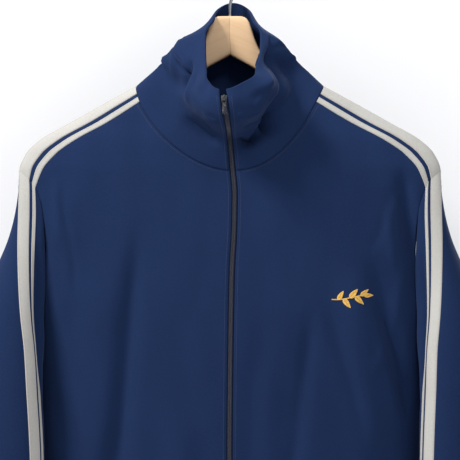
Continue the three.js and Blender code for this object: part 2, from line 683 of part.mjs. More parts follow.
// Hanger: one outline with rounded edges for each arm, and the arms lean forward from the middle
function hangerGeometry() {
  const armTop = (x) => HANGER_ARM_TOP - (x - NECK_HALF_WIDTH) * HANGER_ARM_SLOPE;
  const armBottom = (x) => HANGER_BELLY - x * HANGER_ARM_SLOPE;
  const outline = [
    [-HANGER_ROUNDING, HANGER_TOP], [15.5, HANGER_TOP - 0.8], [22, HANGER_TOP - 8],
    [27, HANGER_TOP - 24], [33, HANGER_TOP - 38], [48, armTop(48)],
    [NECK_HALF_WIDTH, armTop(NECK_HALF_WIDTH)], [150, armTop(150)],
    [198, armTop(198)], [208, -214], [211, -224], [203, armBottom(203)],
    [150, armBottom(150)], [NECK_HALF_WIDTH, armBottom(NECK_HALF_WIDTH)], [50, armBottom(50)],
    [-HANGER_ROUNDING, armBottom(-HANGER_ROUNDING)],
  ];
  const half = (side) => {
    const points = outline.map(([x, z]) => new THREE.Vector2(side * x, z));
    const shape = new THREE.Shape(side > 0 ? points.reverse() : points);
    const geometry = new THREE.ExtrudeGeometry(shape, {
      depth: HANGER_THICKNESS - 2 * HANGER_ROUNDING,
      bevelThickness: HANGER_ROUNDING, bevelSize: HANGER_ROUNDING, bevelOffset: -HANGER_ROUNDING,
      bevelSegments: 3,
    });
    geometry.rotateX(Math.PI / 2).translate(0, HANGER_THICKNESS / 2 - HANGER_ROUNDING, 0);
    const position = geometry.attributes.position;
    for (let i = 0; i < position.count; i += 1) {
      position.setY(i, position.getY(i) - side * position.getX(i) * HANGER_BEND);
    }
    return toManifold(geometry);
  };
  return fromManifold(half(1).add(half(-1)));
}

// Hook: a straight shank, then round over the rail
function hookGeometry() {
  const centre = new THREE.Vector3(0, 0, HOOK_WIRE_RADIUS - HOOK_RADIUS);
  const points = [
    new THREE.Vector3(0, 0, HANGER_TOP + SEAM_GAP), new THREE.Vector3(0, 0, -54),
    new THREE.Vector3(1.2, 0, -47), new THREE.Vector3(5.6, 0, -40.5),
  ];
  spread(12, -55, 205).forEach((angle) => points.push(new THREE.Vector3(
    HOOK_RADIUS * Math.cos(toRadians(angle)), 0, centre.z + HOOK_RADIUS * Math.sin(toRadians(angle)))));
  const wire = new THREE.Shape().absarc(0, 0, HOOK_WIRE_RADIUS, 0, 2 * Math.PI);
  return new THREE.ExtrudeGeometry(wire, {
    extrudePath: new THREE.CatmullRomCurve3(points), steps: 30, curveSegments: 4, bevelEnabled: false,
  });
}

// Slider: a plate over the chain with a bridge that the tab's eye hangs from. Its own frame has the cloth
// at y = 0.
const SLIDER = {
  half: 3.3, length: 8, thickness: 2, lift: 0.9, bridgeHalf: 0.8, bridgeReach: 3.4, bar: 0.8, leg: 1.2,
};
const TAB = { half: 2.4, above: 0.7, length: 18, thickness: 1.1, eyeHalf: 1.35, eyeLength: 4.9, pin: 0.55 };
const SLIDER_FACE = -(SLIDER.lift + SLIDER.thickness);
const HINGE_OUT = SLIDER_FACE - (SLIDER.bridgeReach - SLIDER.bar) / 2;

function block(x, y, z) {
  const geometry = new THREE.BoxGeometry(x[1] - x[0], y[1] - y[0], z[1] - z[0]);
  geometry.translate((x[0] + x[1]) / 2, (y[0] + y[1]) / 2, (z[0] + z[1]) / 2);
  return geometry;
}

function sliderGeometry() {
  const waist = SLIDER.half * 0.94;
  const foot = SLIDER.half * 0.74;
  const end = SLIDER.length / 2;
  const plate = new THREE.Shape([
    [-SLIDER.half, end], [-waist, 0], [-foot, -end], [foot, -end], [waist, 0], [SLIDER.half, end],
  ].map(([x, z]) => new THREE.Vector2(x, z)));
  const base = new THREE.ExtrudeGeometry(plate, { depth: SLIDER.thickness, bevelEnabled: false });
  base.rotateX(Math.PI / 2).translate(0, -SLIDER.lift, 0);
  const across = [-SLIDER.bridgeHalf, SLIDER.bridgeHalf];
  const out = SLIDER_FACE - SLIDER.bridgeReach;
  const top = end - 0.4;
  const pieces = [
    block(across, [out, SLIDER_FACE + 0.4], [top - SLIDER.leg, top]),
    block(across, [out, SLIDER_FACE + 0.4], [-top, SLIDER.leg - top]),
    block(across, [out, out + SLIDER.bar], [-top, top]),
  ];
  return fromManifold(pieces.reduce((solid, piece) => solid.add(toManifold(piece)), toManifold(base)));
}

function tabGeometry() {
  const outline = new THREE.Shape();
  outline.moveTo(-TAB.half, TAB.above);
  outline.lineTo(-TAB.half * 0.8, -TAB.length + 1.5);
  outline.quadraticCurveTo(0, -TAB.length - 0.6, TAB.half * 0.8, -TAB.length + 1.5);
  outline.lineTo(TAB.half, TAB.above);
  outline.closePath();
  const eye = new THREE.Path();
  eye.moveTo(-TAB.eyeHalf, -TAB.pin);
  eye.lineTo(TAB.eyeHalf, -TAB.pin);
  eye.lineTo(TAB.eyeHalf, -TAB.eyeLength);
  eye.lineTo(-TAB.eyeHalf, -TAB.eyeLength);
  eye.closePath();
  outline.holes.push(eye);
  const geometry = new THREE.ExtrudeGeometry(outline, {
    depth: TAB.thickness, bevelEnabled: false, curveSegments: 6,
  });
  geometry.rotateX(Math.PI / 2).translate(0, TAB.thickness / 2, 0);
  return geometry;
}

// Materials
const finish = (color, roughness, metalness = 0) =>
  new THREE.MeshStandardMaterial({ color, roughness, metalness });
const navy = finish(0x1d3159, 0.85);
const navyRib = finish(0x1b2d52, 0.9);
const pale = finish(0xd9d6cf, 0.85);
const zipGrey = finish(0x45444c, 0.5);
const darkMetal = finish(0x4c4d52, 0.35, 0.9);
const wood = finish(0xe9c393, 0.5);
const steel = finish(0xc9cbcd, 0.25, 1);

const jacket = new THREE.Group();
function add(name, geometry, material, parent = jacket) {
  const mesh = new THREE.Mesh(geometry, material);
  mesh.name = name;
  parent.add(mesh);
  return mesh;
}

// Cloth. The viewer's left is the wearer's right: names give the wearer's side.
for (const [side, label] of [[1, "left"], [-1, "right"]]) {
  const front = frontPanel(side);
  front.points = insetEdges(front.points, {
    first: SEAM_INSET, last: SEAM_INSET, start: NECK_INSET, end: ARMHOLE_INSET,
  });
  add(`front_${label}`, centredWall(front, KNIT_THICKNESS), navy);
  add(`shoulder_tape_broad_${label}`, tapeOn(sliceOf(front, (rows) => rows.slice(0, 3))), pale);
  add(`shoulder_tape_narrow_${label}`, tapeOn(sliceOf(front, (rows) => rows.slice(3, 5))), pale);
  const tube = sleevePanel(side);
  tube.points = insetEdges(tube.points, { first: SLEEVE_HEAD_INSET, last: SEAM_INSET });
  const strip = (from, to) => {
    const tape = sliceOf(tube, (rows) => rows.map((row) => row.slice(from, to)));
    tape.points = insetEdges(tape.points, { first: SLEEVE_HEAD_INSET });
    return tape;
  };
  add(`sleeve_${label}`, centredWall(tube, KNIT_THICKNESS, { closed: true }), navy);
  add(`sleeve_tape_broad_${label}`, tapeOn(strip(0, 3)), pale);
  add(`sleeve_tape_narrow_${label}`, tapeOn(strip(3, 5)), pale);
  add(`cuff_${label}`, centredWall(cuffPanel(side), BAND_THICKNESS, { closed: true }), navyRib);
}
const back = backPanel();
back.points = insetEdges(back.points, {
  first: SEAM_INSET, last: SEAM_INSET, start: ARMHOLE_INSET, end: ARMHOLE_INSET,
});
add("back", centredWall(back, KNIT_THICKNESS), navy);
const standing = collarPanel();
standing.points = insetEdges(standing.points, { first: COLLAR_INSET });
add("collar", centredWall(standing, COLLAR_THICKNESS, { firstRow: KNIT_THICKNESS / COLLAR_THICKNESS }), navy);
add("hem_band", centredWall(hemBand(), BAND_THICKNESS), navyRib);

// Zip: the tape lies behind the fronts, and the chain stands in the gap between them
const tapeOuter = -COLLAR_THICKNESS / 2 - 2 * SEAM_GAP;
add("zip_tape", zipStrip({
  rows: ZIP_ROWS, across: spread(4, -ZIP_TAPE_HALF, ZIP_TAPE_HALF),
  inner: tapeOuter - ZIP_TAPE_THICKNESS, outer: tapeOuter,
}), navyRib);
add("zip_chain", zipStrip({
  rows: ZIP_ROWS.slice(0, -2), across: [-ZIP_CHAIN_HALF, 0, ZIP_CHAIN_HALF],
  inner: tapeOuter + SEAM_GAP, outer: tapeOuter + SEAM_GAP + ZIP_CHAIN_THICKNESS,
}), zipGrey);

// Slider and tab, set on the chain near the top and leaning as the cloth does
const SLIDER_SHARE = 0.984;
const sliderRise = besideZip(0, SLIDER_SHARE + 0.006).sub(besideZip(0, SLIDER_SHARE - 0.012));
const sliderFrame = new THREE.Group();
sliderFrame.position.copy(besideZip(0, SLIDER_SHARE));
sliderFrame.rotation.x = -Math.atan2(sliderRise.y, sliderRise.z);
jacket.add(sliderFrame);
add("zip_slider", sliderGeometry(), darkMetal, sliderFrame);
const tab = add("pull_tab", tabGeometry(), darkMetal, sliderFrame);
tab.position.set(0, HINGE_OUT, 0);

// Hanger
add("hanger", hangerGeometry(), wood);
add("hanger_hook", hookGeometry(), steel);

export default jacket;
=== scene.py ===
"""A knitted track jacket, zipped to the top of its stand collar, on a wooden hanger.

The classes hold their sizes in millimetres: +X is to the right of someone who faces the jacket, +Y goes
to its back and +Z up, and the origin is the inside top of the hanger's hook. Meshes are made in metres.
"""

from __future__ import annotations

import logging
import math
from collections.abc import Callable, Sequence
from dataclasses import dataclass, field
from enum import Enum
from functools import partial
from typing import TypeVar

import bpy
import numpy as np
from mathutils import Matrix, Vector

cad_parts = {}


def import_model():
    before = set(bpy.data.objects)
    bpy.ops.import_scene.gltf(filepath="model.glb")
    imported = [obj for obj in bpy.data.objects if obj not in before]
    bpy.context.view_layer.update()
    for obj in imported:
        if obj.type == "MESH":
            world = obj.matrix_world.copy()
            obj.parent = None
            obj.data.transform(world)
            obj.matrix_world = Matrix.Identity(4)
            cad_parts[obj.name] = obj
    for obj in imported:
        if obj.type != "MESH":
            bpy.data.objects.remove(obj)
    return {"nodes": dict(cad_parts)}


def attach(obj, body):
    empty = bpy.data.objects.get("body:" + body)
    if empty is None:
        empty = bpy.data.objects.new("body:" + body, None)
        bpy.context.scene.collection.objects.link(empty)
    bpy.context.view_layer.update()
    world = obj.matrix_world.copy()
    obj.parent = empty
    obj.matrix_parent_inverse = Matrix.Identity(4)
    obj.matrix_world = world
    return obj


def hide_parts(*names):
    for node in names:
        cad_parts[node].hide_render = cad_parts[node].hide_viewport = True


LOG = logging.getLogger("jacket")
MM = 0.001
UV_NAME = "cloth"
NO_SEAM = 100.0
Array = np.ndarray
Colour = tuple[float, float, float]
Surface = Callable[[Array, Array], Array]
Socket = bpy.types.NodeSocket
Values = dict[str | int, object]
Fold = TypeVar("Fold")


class Side(Enum):
    """The wearer's side of a piece that comes in pairs, with the sign of its X."""

    LEFT = 1
    RIGHT = -1

    @property
    def label(self) -> str:
        """The word used in names."""
        return self.name.lower()


class Face(Enum):
    """The face of the body that a fold runs down."""

    FRONT = "front"
    BACK = "back"


class Body(Enum):
    """The bodies that pieces ride on."""

    JACKET = "jacket"
    TAB = "pull_tab"


# Curves and tables


def smoothstep(value: Array, low: float, high: float) -> Array:
    """0 below low, 1 above high and smooth between them."""
    share = np.clip((value - low) / (high - low), 0.0, 1.0)
    return share * share * (3.0 - 2.0 * share)


def lerp(start: Array, end: Array, share: Array) -> Array:
    """The value at a share of the way from start to end."""
    return start + (end - start) * share


def bump(distance: Array, width: float) -> Array:
    """1 in the middle, fading out over about two widths."""
    return np.exp(-((distance / width) ** 2))


def between(value: Array, start: float, end: float, share: float = 0.28) -> Array:
    """1 between two ends and fading at both, over a share of the way."""
    fade = share * (end - start)
    return smoothstep(value, start, start + fade) * (1.0 - smoothstep(value, end - fade, end))


def reach_of(sine: Array, square: Array) -> Array:
    """The side reach of a level section at a sine of its angle."""
    return sine * (1.0 + square * (1.0 - sine * sine))


def turn_of(share: Array, square: Array) -> Array:
    """The angle, in degrees, at which a section reaches a share of its half width.

    Args:
        share: the share of the half width.
        square: how square the section is.
    Returns:
        The angle, from 0 to 90.
    """
    share = np.clip(share, 0.0, 1.0)
    sine = share.copy()
    for _ in range(8):
        slope = np.maximum(1.0 + square - 3.0 * square * sine * sine, 0.2)
        sine = np.clip(sine - (reach_of(sine, square) - share) / slope, 0.0, 1.0)
    return np.degrees(np.arcsin(sine))


class SmoothTable:
    """A smooth curve through the rows of a table: every column as a function of the first."""

    def __init__(self, columns: str, rows: Sequence[Sequence[float]]) -> None:
        """Sorts the rows and works out the slopes.

        Args:
            columns: the columns' names, parted by spaces, the first one being what the rows go by.
            rows: the table.
        """
        data = np.array(sorted(rows), float)
        self.at = data[:, 0]
        self.values = data[:, 1:]
        self.columns = columns.split()[1:]
        rise = np.diff(self.values, axis=0) / np.diff(self.at)[:, None]
        before, after = rise[:-1], rise[1:]
        same = before * after > 0
        inner = np.where(same, 2 * before * after / np.where(same, before + after, 1.0), 0.0)
        self.slopes = np.vstack([rise[:1], inner, rise[-1:]])

    def __call__(self, place: Array) -> dict[str, Array]:
        """Reads every column at the places.

        Args:
            place: values of the first column.
        Returns:
            The other columns by name.
        """
        place = np.clip(np.asarray(place, float), self.at[0], self.at[-1])
        i = np.clip(np.searchsorted(self.at, place) - 1, 0, len(self.at) - 2)
        width = self.at[i + 1] - self.at[i]
        t = (place - self.at[i]) / width
        start, end = 2 * t**3 - 3 * t**2 + 1, 3 * t**2 - 2 * t**3
        leave, arrive = (t**3 - 2 * t**2 + t) * width, (t**3 - t**2) * width
        result = {}
        for k, name in enumerate(self.columns):
            value, slope = self.values[:, k], self.slopes[:, k]
            result[name] = start * value[i] + leave * slope[i] + end * value[i + 1] + arrive * slope[i + 1]
        return result


class Measured:
    """A curve measured along its length."""

    def __init__(self, curve: Callable[[Array], Array], start: float, end: float, steps: int = 400) -> None:
        """Measures the curve.

        Args:
            curve: gives the points of an array of parameters.
            start: the parameter where the length is 0.
            end: the parameter at the far end.
            steps: how many chords are added up.
        """
        self.parameters = np.linspace(start, end, steps + 1)
        points = curve(self.parameters)
        chords = np.linalg.norm(np.diff(points, axis=0), axis=-1)
        self.lengths = np.concatenate([[0.0], np.cumsum(chords)])
        self.total = float(self.lengths[-1])

    def at(self, distance: Array) -> Array:
        """The parameters at distances along the curve."""
        return np.interp(distance, self.lengths, self.parameters)

    def length_at(self, parameter: Array) -> Array:
        """The distances at parameters that grow along the curve."""
        return np.interp(parameter, self.parameters, self.lengths)


# The garment's form


@dataclass(frozen=True)
class BodyFold:
    """A soft trough (minus) or ridge that runs down one face of the body, bowed a little on its way."""

    face: Face
    x: float
    top: float
    to_x: float
    bottom: float
    width: float
    out: float
    bow: float = 0.0

    def height(self, x: Array, height: Array) -> Array:
        """How far the cloth stands out at places on the face.

        Args:
            x: the places' distance from the middle.
            height: their height.
        Returns:
            The distance, in millimetres.
        """
        down = (self.top - height) / (self.top - self.bottom)
        middle = lerp(self.x, self.to_x, down) + self.bow * 4.0 * down * (1.0 - down)
        return self.out * bump(x - middle, self.width) * between(down, 0.0, 1.0)


@dataclass(frozen=True)
class TubeFold:
    """A soft trough (minus) or ridge along a sleeve or up the collar, at an angle round it."""

    around: float
    width: float
    start: float
    end: float
    out: float
    lean: float = 0.0

    def height(self, around: Array, along: Array) -> Array:
        """How far the cloth stands out at places on the tube."""
        middle = self.around + self.lean * (along - 0.6)
        return self.out * bump(around - middle, self.width) * between(along, self.start, self.end)


@dataclass(frozen=True)
class Crease:
    """A narrow trough (minus) or ridge between two flat places, bowed on its way and softer on its right."""

    start: tuple[float, float]
    end: tuple[float, float]
    width: float
    out: float
    soft: float = 1.0
    bow: float = 0.0
    fade: float = 0.28

    def height(self, across: Array, along: Array) -> Array:
        """How far the cloth stands out at flat places, in millimetres.

        Args:
            across: the places' distance to the right.
            along: their distance up.
        Returns:
            The distance, in millimetres.
        """
        run, rise = self.end[0] - self.start[0], self.end[1] - self.start[1]
        length = math.hypot(run, rise)
        x, y = across - self.start[0], along - self.start[1]
        share = (x * run + y * rise) / length**2
        beside = (x * rise - y * run) / length - self.bow * 4.0 * share * (1.0 - share)
        width = np.where(beside > 0, self.width * self.soft, self.width)
        return self.out * bump(beside, width) * between(share, 0.0, 1.0, self.fade)


def each(kind: Callable[..., Fold], *sizes: Sequence[object]) -> tuple[Fold, ...]:
    """A fold or crease of a kind for every row of its sizes, in the order of its fields."""
    return tuple(kind(*row) for row in sizes)


def body_folds() -> tuple[BodyFold, ...]:
    """The folds of the front and of the back, the main ones first and then the finer creases.

    Returns:
        The folds, front before back.
    """
    front = each(
        partial(BodyFold, Face.FRONT),
        (-107, -300, -132, -700, 17, -5), (-142, -330, -168, -640, 19, 3),
        (-172, -235, -180, -420, 13, 2.5), (152, -318, 196, -520, 12, -6.5),
        (128, -330, 158, -560, 18, 3.5), (187, -226, 197, -345, 8, -3.5), (62, -430, 58, -720, 14, -3.5),
        (-48, -480, -62, -720, 18, 3), (-186, -262, -168, -380, 5, -1.6, 5),
        (-194, -300, -160, -470, 6, 1.3, -8), (176, -250, 150, -330, 6, -1.2, 4),
        (157, -372, 193, -512, 3.4, -3.4, 3), (149, -380, 184, -512, 6, 1.6, 3),
        (-190, -238, -186, -330, 6, 2.2, 0), (172, -262, 181, -350, 6, 1.8, -3),
        (-99, -280, -128, -600, 9, -4.4, 3), (-120, -310, -148, -600, 12, 2.6, 3),
        (32, -390, 14, -640, 12, -2.4, 0), (91, -365, 62, -610, 8, -3.2, 0),
        (99, -372, 150, -548, 8, -3.0, 4), (183, -230, 205, -392, 9, -4.2, 3),
        (186, -330, 150, -470, 7, 1.4, 9), (92, -540, 118, -726, 8, -1.5, -4),
        (-92, -560, -74, -728, 9, -1.3, 5), (24, -600, 36, -730, 7, 1.1, 0),
        (-26, -250, -44, -420, 12, -0.7, 6), (60, -232, 96, -380, 13, 0.8, -7),
        (182, -600, 176, -732, 8, 1.6, 0), (-184, -585, -190, -730, 9, -1.8, 3),
    )
    back = each(
        partial(BodyFold, Face.BACK),
        (-88, -200, -124, -730, 28, -6), (20, -340, 8, -730, 34, 4), (80, -210, 116, -720, 26, -6.5),
        (-30, -170, -52, -330, 12, 1.4, 7), (44, -180, 58, -400, 11, -1.5, -8),
        (172, -290, 140, -470, 9, -2.2, 8), (-176, -280, -150, -430, 10, 2.0, -7),
        (-160, -500, -172, -728, 10, -2.1, 4), (60, -560, 52, -730, 9, 1.5, -3),
        (-48, -600, -40, -730, 8, -1.4, 4), (160, -560, 172, -730, 10, 1.7, 0),
    )
    return front + back


@dataclass(frozen=True)
class Ripple:
    """The faint waviness of a hanging double knit: a few long waves in set directions."""

    depth: float = 0.22
    shortest: float = 34.0
    longest: float = 95.0
    waves: int = 7
    seed: int = 12

    def height(self, across: Array, height: Array) -> Array:
        """How far the cloth stands out.

        Args:
            across: the places' distance across.
            height: their height.
        Returns:
            The distance, in millimetres.
        """
        chance = np.random.default_rng(self.seed)
        total = np.zeros(np.broadcast(across, height).shape)
        for _ in range(self.waves):
            length = chance.uniform(self.shortest, self.longest)
            lean = chance.normal(0.0, 0.35)
            phase = chance.uniform(0.0, 2.0 * math.pi)
            total = total + np.sin(2.0 * math.pi * (across + lean * height) / length + phase)
        return self.depth * total


@dataclass
class BodyForm:
    """The body of the jacket: level sections, folds, neck seam and armhole seams."""

    neck_height: float = -144.0
    neck_half_width: float = 103.0
    neck_front_drop: float = 92.4
    neck_back_drop: float = 7.0
    neck_roundness: float = 1.6
    shoulder_tip: float = -236.0
    underarm: float = -430.0
    hem_seam: float = -736.0
    hem: float = -792.0
    waist: float = -500.0
    calm_beside_zip: float = 22.0
    back_waves_from: float = 300.0
    steps: tuple[float, float] = (0.3, 0.4)
    folds: tuple[BodyFold, ...] = field(default_factory=body_folds)
    ripple: Ripple = Ripple()

    def __post_init__(self) -> None:
        """Sets up the tables."""
        self.sections = SmoothTable("height half front back side square", (
            (-144, 103, -40, 13, -15, -0.12), (-164, 139, -45, 15, -20, -0.16),
            (-184, 174, -49, 17, -25, -0.2), (-204, 208, -53, 19, -30, -0.18),
            (-218, 222, -55, 21, -32, -0.14), (-236, 229, -58, 23, -34, -0.1),
            (-262, 228, -61, 26, -33, -0.04), (-300, 224, -65, 30, -31, 0.02),
            (-345, 219, -69, 34, -28, 0.07), (-390, 215, -73, 38, -25, 0.1),
            (-430, 213, -75, 40, -22, 0.12), (-520, 213, -77, 43, -19, 0.13),
            (-620, 211, -76, 44, -17, 0.13), (-700, 208, -73, 42, -16, 0.12),
            (-736, 203, -69, 38, -16, 0.1), (-750, 200, -66, 35, -16, 0.1),
            (-792, 198, -64, 33, -16, 0.1),
        ))
        self.zip_line = SmoothTable("height x", (
            (-144, -7), (-205, -1), (-237, 3), (-262, 5), (-300, 4.4), (-345, 2), (-430, 0.4), (-548, -0.6),
            (-792, 0),
        ))
        self.armhole_inset = SmoothTable("around front back", (
            (0, 0, 0), (33, 19, 17), (56, 25, 22), (82, 26, 23), (105, 20.5, 20), (128, 11, 12),
            (154, 4.5, 5), (180, 0, 0),
        ))
        self.armhole_length = Measured(lambda around: self.armhole_point(Side.LEFT, around), 0.0, 180.0)
        self.arc = Measured(lambda turn: self.point(turn, np.full_like(turn, self.waist)), 0.0, 180.0)
        self.arc_half = float(self.sections(self.waist)["half"])

    def point(self, turn: Array, height: Array) -> Array:
        """Points of the body's cloth.

        Args:
            turn: 0 at the zip, 90 at the +X side, 180 at the centre back, in degrees.
            height: below the hook.
        Returns:
            The points, on a last axis of three.
        """
        turn, height = np.broadcast_arrays(np.asarray(turn, float), np.asarray(height, float))
        section = self.sections(height)
        sine, cosine = np.sin(np.radians(turn)), np.cos(np.radians(turn))
        is_front = cosine >= 0
        middle = np.where(is_front, self.zip_line(height)["x"] * cosine * cosine, 0.0)
        x = section["half"] * reach_of(sine, section["square"]) + middle
        reach = np.where(is_front, section["front"], section["back"])
        depth = reach_of(np.abs(cosine), section["square"])
        y = section["side"] + (reach - section["side"]) * depth
        facing = smoothstep(np.abs(cosine), 0.05, 0.5) * np.where(is_front, -1.0, 1.0)
        for fold in self.folds:
            on_face = is_front if fold.face is Face.FRONT else ~is_front
            y = y + np.where(on_face, facing * fold.height(x, height), 0.0)
        near_zip = bump(x, self.calm_beside_zip) * is_front
        waves = self.ripple.height(x + self.back_waves_from * ~is_front, height)
        y = y + facing * waves * (1.0 - near_zip)
        return np.stack([x, y, height], -1)

    def neck_seam(self, around: Array) -> tuple[Array, Array]:
        """The neck seam.

        Args:
            around: 0 at the zip, 90 at the +X shoulder, 180 behind, in degrees.
        Returns:
            Its turn and height.
        """
        sine, cosine = np.sin(np.radians(around)), np.cos(np.radians(around))
        drop = np.where(cosine >= 0, self.neck_front_drop, self.neck_back_drop)
        height = self.neck_height - drop * np.abs(cosine) ** self.neck_roundness
        section = self.sections(height)
        turn = turn_of(self.neck_half_width * np.abs(sine) / section["half"], section["square"])
        signed = np.where(cosine >= 0, turn, 180.0 - turn) * np.where(sine < 0, -1.0, 1.0)
        return signed, height

    def armhole_seam(self, around: Array) -> tuple[Array, Array]:
        """The seam of the armhole on the +X side.

        Args:
            around: 0 at the shoulder tip, 90 in front, 180 underneath, in degrees.
        Returns:
            Its turn and height.
        """
        around = np.asarray(around, float)
        share = (1.0 + np.cos(np.radians(around))) / 2.0
        height = lerp(self.underarm, self.shoulder_tip, share)
        is_front = around <= 180.0
        inset = self.armhole_inset(np.where(is_front, around, 360.0 - around))
        return np.where(is_front, 90.0 - inset["front"], 90.0 + inset["back"]), height

    def armhole_point(self, side: Side, around: Array, shift: Array = 0.0) -> Array:
        """Points of the armhole on one side, moved back by a shift in degrees."""
        turn, height = self.armhole_seam(around)
        return self.point(side.value * (turn + shift), height)

    def turn_beside_zip(self, across: Array, height: Array) -> Array:
        """The turn at a distance from the zip's middle line."""
        section = self.sections(height)
        return np.sign(across) * turn_of(np.abs(across) / section["half"], section["square"])

    def flat(self, turn: Array, height: Array) -> Array:
        """The places on the flat cloth of points of the body.

        Args:
            turn: the points' turn.
            height: their height.
        Returns:
            The flat places, in millimetres.
        """
        scale = self.sections(height)["half"] / self.arc_half
        across = np.sign(turn) * self.arc.length_at(np.abs(turn)) * scale
        return np.stack(np.broadcast_arrays(across, height), -1)


@dataclass
class SleeveForm:
    """The sleeves: a tube that hangs from each armhole."""

    body: BodyForm
    cuff_seam: float = -784.0
    cuff: float = -848.0
    square: float = 0.08
    head_reach: float = 0.34
    clearance: float = 3.8
    underarm_lift: float = 2.1
    seam_shift: float = 1.5
    splay_from: float = -330.0
    splay_to: float = -560.0
    splay: dict[Side, float] = field(default_factory=lambda: {Side.LEFT: 5.0, Side.RIGHT: 1.0})
    folds: tuple[TubeFold, ...] = each(
        TubeFold,
        (58, 15, 0.07, 0.42, -7), (318, 12, 0.34, 0.8, -4), (296, 12, 0.42, 0.97, 3.5),
        (342, 9, 0.62, 0.99, -3), (84, 8, 0.12, 0.38, 1.6, -20), (104, 9, 0.2, 0.55, -1.8, 26),
        (276, 8, 0.1, 0.4, -1.7, 24), (232, 10, 0.16, 0.6, 2.0, -22), (206, 9, 0.5, 0.96, -2.2, 12),
        (66, 7, 0.66, 0.98, -1.6, -10), (126, 8, 0.7, 0.99, 1.8, 8), (252, 8, 0.74, 0.99, -1.9, -8),
    )

    def __post_init__(self) -> None:
        """Sets up the tables."""
        self.sections = SmoothTable("height out y along across turn", (
            (-236, 229, -34, 6, 5, 62), (-262, 231.5, -31, 17, 12, 62), (-290, 235, -28, 27, 18, 60),
            (-343, 241.5, -31, 38, 26, 52), (-396, 248, -39, 46, 31, 41), (-430, 251, -43, 51, 32.5, 35),
            (-476, 254, -48, 55, 33, 30), (-546, 255, -51, 58, 33, 26), (-650, 254, -48, 56, 31, 23),
            (-735, 253, -45, 51, 29, 21), (-765, 252, -43, 47, 27, 20), (-784, 252, -42, 39, 21.5, 20),
            (-796, 252, -42, 37.5, 20, 20), (-848, 252, -41, 37, 19.5, 20),
        ))
        self.head = SmoothTable("around section", (
            (0, 25), (60, -15), (120, -58), (180, -95), (270, -175), (360, -335),
        ))

    def tube(self, side: Side, around: Array, height: Array) -> Array:
        """Points of the hanging tube.

        Args:
            side: the sleeve's side.
            around: the angle round the tube.
            height: below the hook.
        Returns:
            The points.
        """
        around, height = np.broadcast_arrays(np.asarray(around, float), np.asarray(height, float))
        section = self.sections(height)
        angle = np.radians(self.head(around)["section"])
        turn = np.radians(section["turn"])
        splay = self.splay[side] * (1.0 - smoothstep(height, self.splay_to, self.splay_from))
        along = section["along"] * reach_of(np.cos(angle), self.square)
        across = section["across"] * reach_of(np.sin(angle), self.square)
        out = section["out"] + splay - along * np.cos(turn) + across * np.sin(turn)
        y = section["y"] - along * np.sin(turn) - across * np.cos(turn)
        return np.stack([side.value * out, y, height], -1)

    def clear_of_body(self, side: Side, points: Array, distance: Array) -> Array:
        """Moves points straight out until they are a distance outside the body's cloth.

        Args:
            side: the sleeve's side.
            points: the points to move.
            distance: how far outside each must be.
        Returns:
            The moved points.
        """
        height = points[..., 2]
        middle = self.body.sections(height)["side"]
        bearing = np.arctan2(np.abs(points[..., 0]), middle - points[..., 1])
        low, high = np.zeros_like(height), np.full_like(height, 180.0)
        for _ in range(14):
            turn = (low + high) / 2.0
            cloth = self.body.point(side.value * turn, height)
            short = np.arctan2(np.abs(cloth[..., 0]), middle - cloth[..., 1]) < bearing
            low, high = np.where(short, turn, low), np.where(short, high, turn)
        cloth = self.body.point(side.value * low, height)
        own = np.hypot(points[..., 0], points[..., 1] - middle)
        missing = np.maximum(distance - own + np.hypot(cloth[..., 0], cloth[..., 1] - middle), 0.0)
        moved = points.copy()
        moved[..., 0] += points[..., 0] / own * missing
        moved[..., 1] += (points[..., 1] - middle) / own * missing
        return moved

    def point(self, side: Side, around: Array, down: Array) -> Array:
        """Points of a sleeve.

        Args:
            side: the sleeve's side.
            around: 0 at the shoulder tip, 90 in front, 180 underneath, in degrees.
            down: 0 at the armhole and 1 at the cuff's seam.
        Returns:
            The points.
        """
        around, down = np.broadcast_arrays(np.asarray(around, float), np.asarray(down, float))
        wrapped = np.mod(around, 360.0)
        wrapped = np.where((wrapped == 0.0) & (around > 0.0), 360.0, wrapped)
        shift = self.seam_shift * np.sin(np.radians(wrapped)) ** 7
        head = self.body.armhole_point(side, wrapped, shift)
        height = lerp(head[..., 2], self.cuff_seam, down)
        points = self.tube(side, wrapped, height)
        pull = (1.0 - smoothstep(down, 0.0, self.head_reach)) ** 1.5
        points = points + (head - self.tube(side, wrapped, head[..., 2])) * pull[..., None]
        section = self.sections(height)
        away = points[..., :2] - np.stack([side.value * section["out"], section["y"]], -1)
        away = away / np.maximum(np.linalg.norm(away, axis=-1, keepdims=True), 1e-6)
        for fold in self.folds:
            points[..., :2] += away * fold.height(wrapped, down)[..., None]
        lift = self.underarm_lift * smoothstep(-np.cos(np.radians(wrapped)), -0.75, 0.15)
        distance = lerp(lift, self.clearance, smoothstep(down, -0.02, 0.07))
        return self.clear_of_body(side, points, distance)


@dataclass(frozen=True)
class CollarRing:
    """A line round the collar: its middle, half width, and depth and height at the side, front and back."""

    middle: float
    half: float
    side_y: float
    side_z: float
    front_x: float
    front_y: float
    front_z: float
    back_y: float
    back_z: float
    front_roundness: float
    back_roundness: float

    def point(self, around: Array) -> Array:
        """Points of the line.

        Args:
            around: 0 at the zip and 90 at the +X side, in degrees.
        Returns:
            The points.
        """
        sine, cosine = np.sin(np.radians(around)), np.cos(np.radians(around))
        is_front = cosine >= 0
        weight = np.abs(cosine) ** np.where(is_front, self.front_roundness, self.back_roundness)
        x = self.middle + self.half * sine + np.where(is_front, (self.front_x - self.middle) * cosine**2, 0.0)
        y = lerp(self.side_y, np.where(is_front, self.front_y, self.back_y), weight)
        z = lerp(self.side_z, np.where(is_front, self.front_z, self.back_z), weight)
        return np.stack([x, y, z], -1)


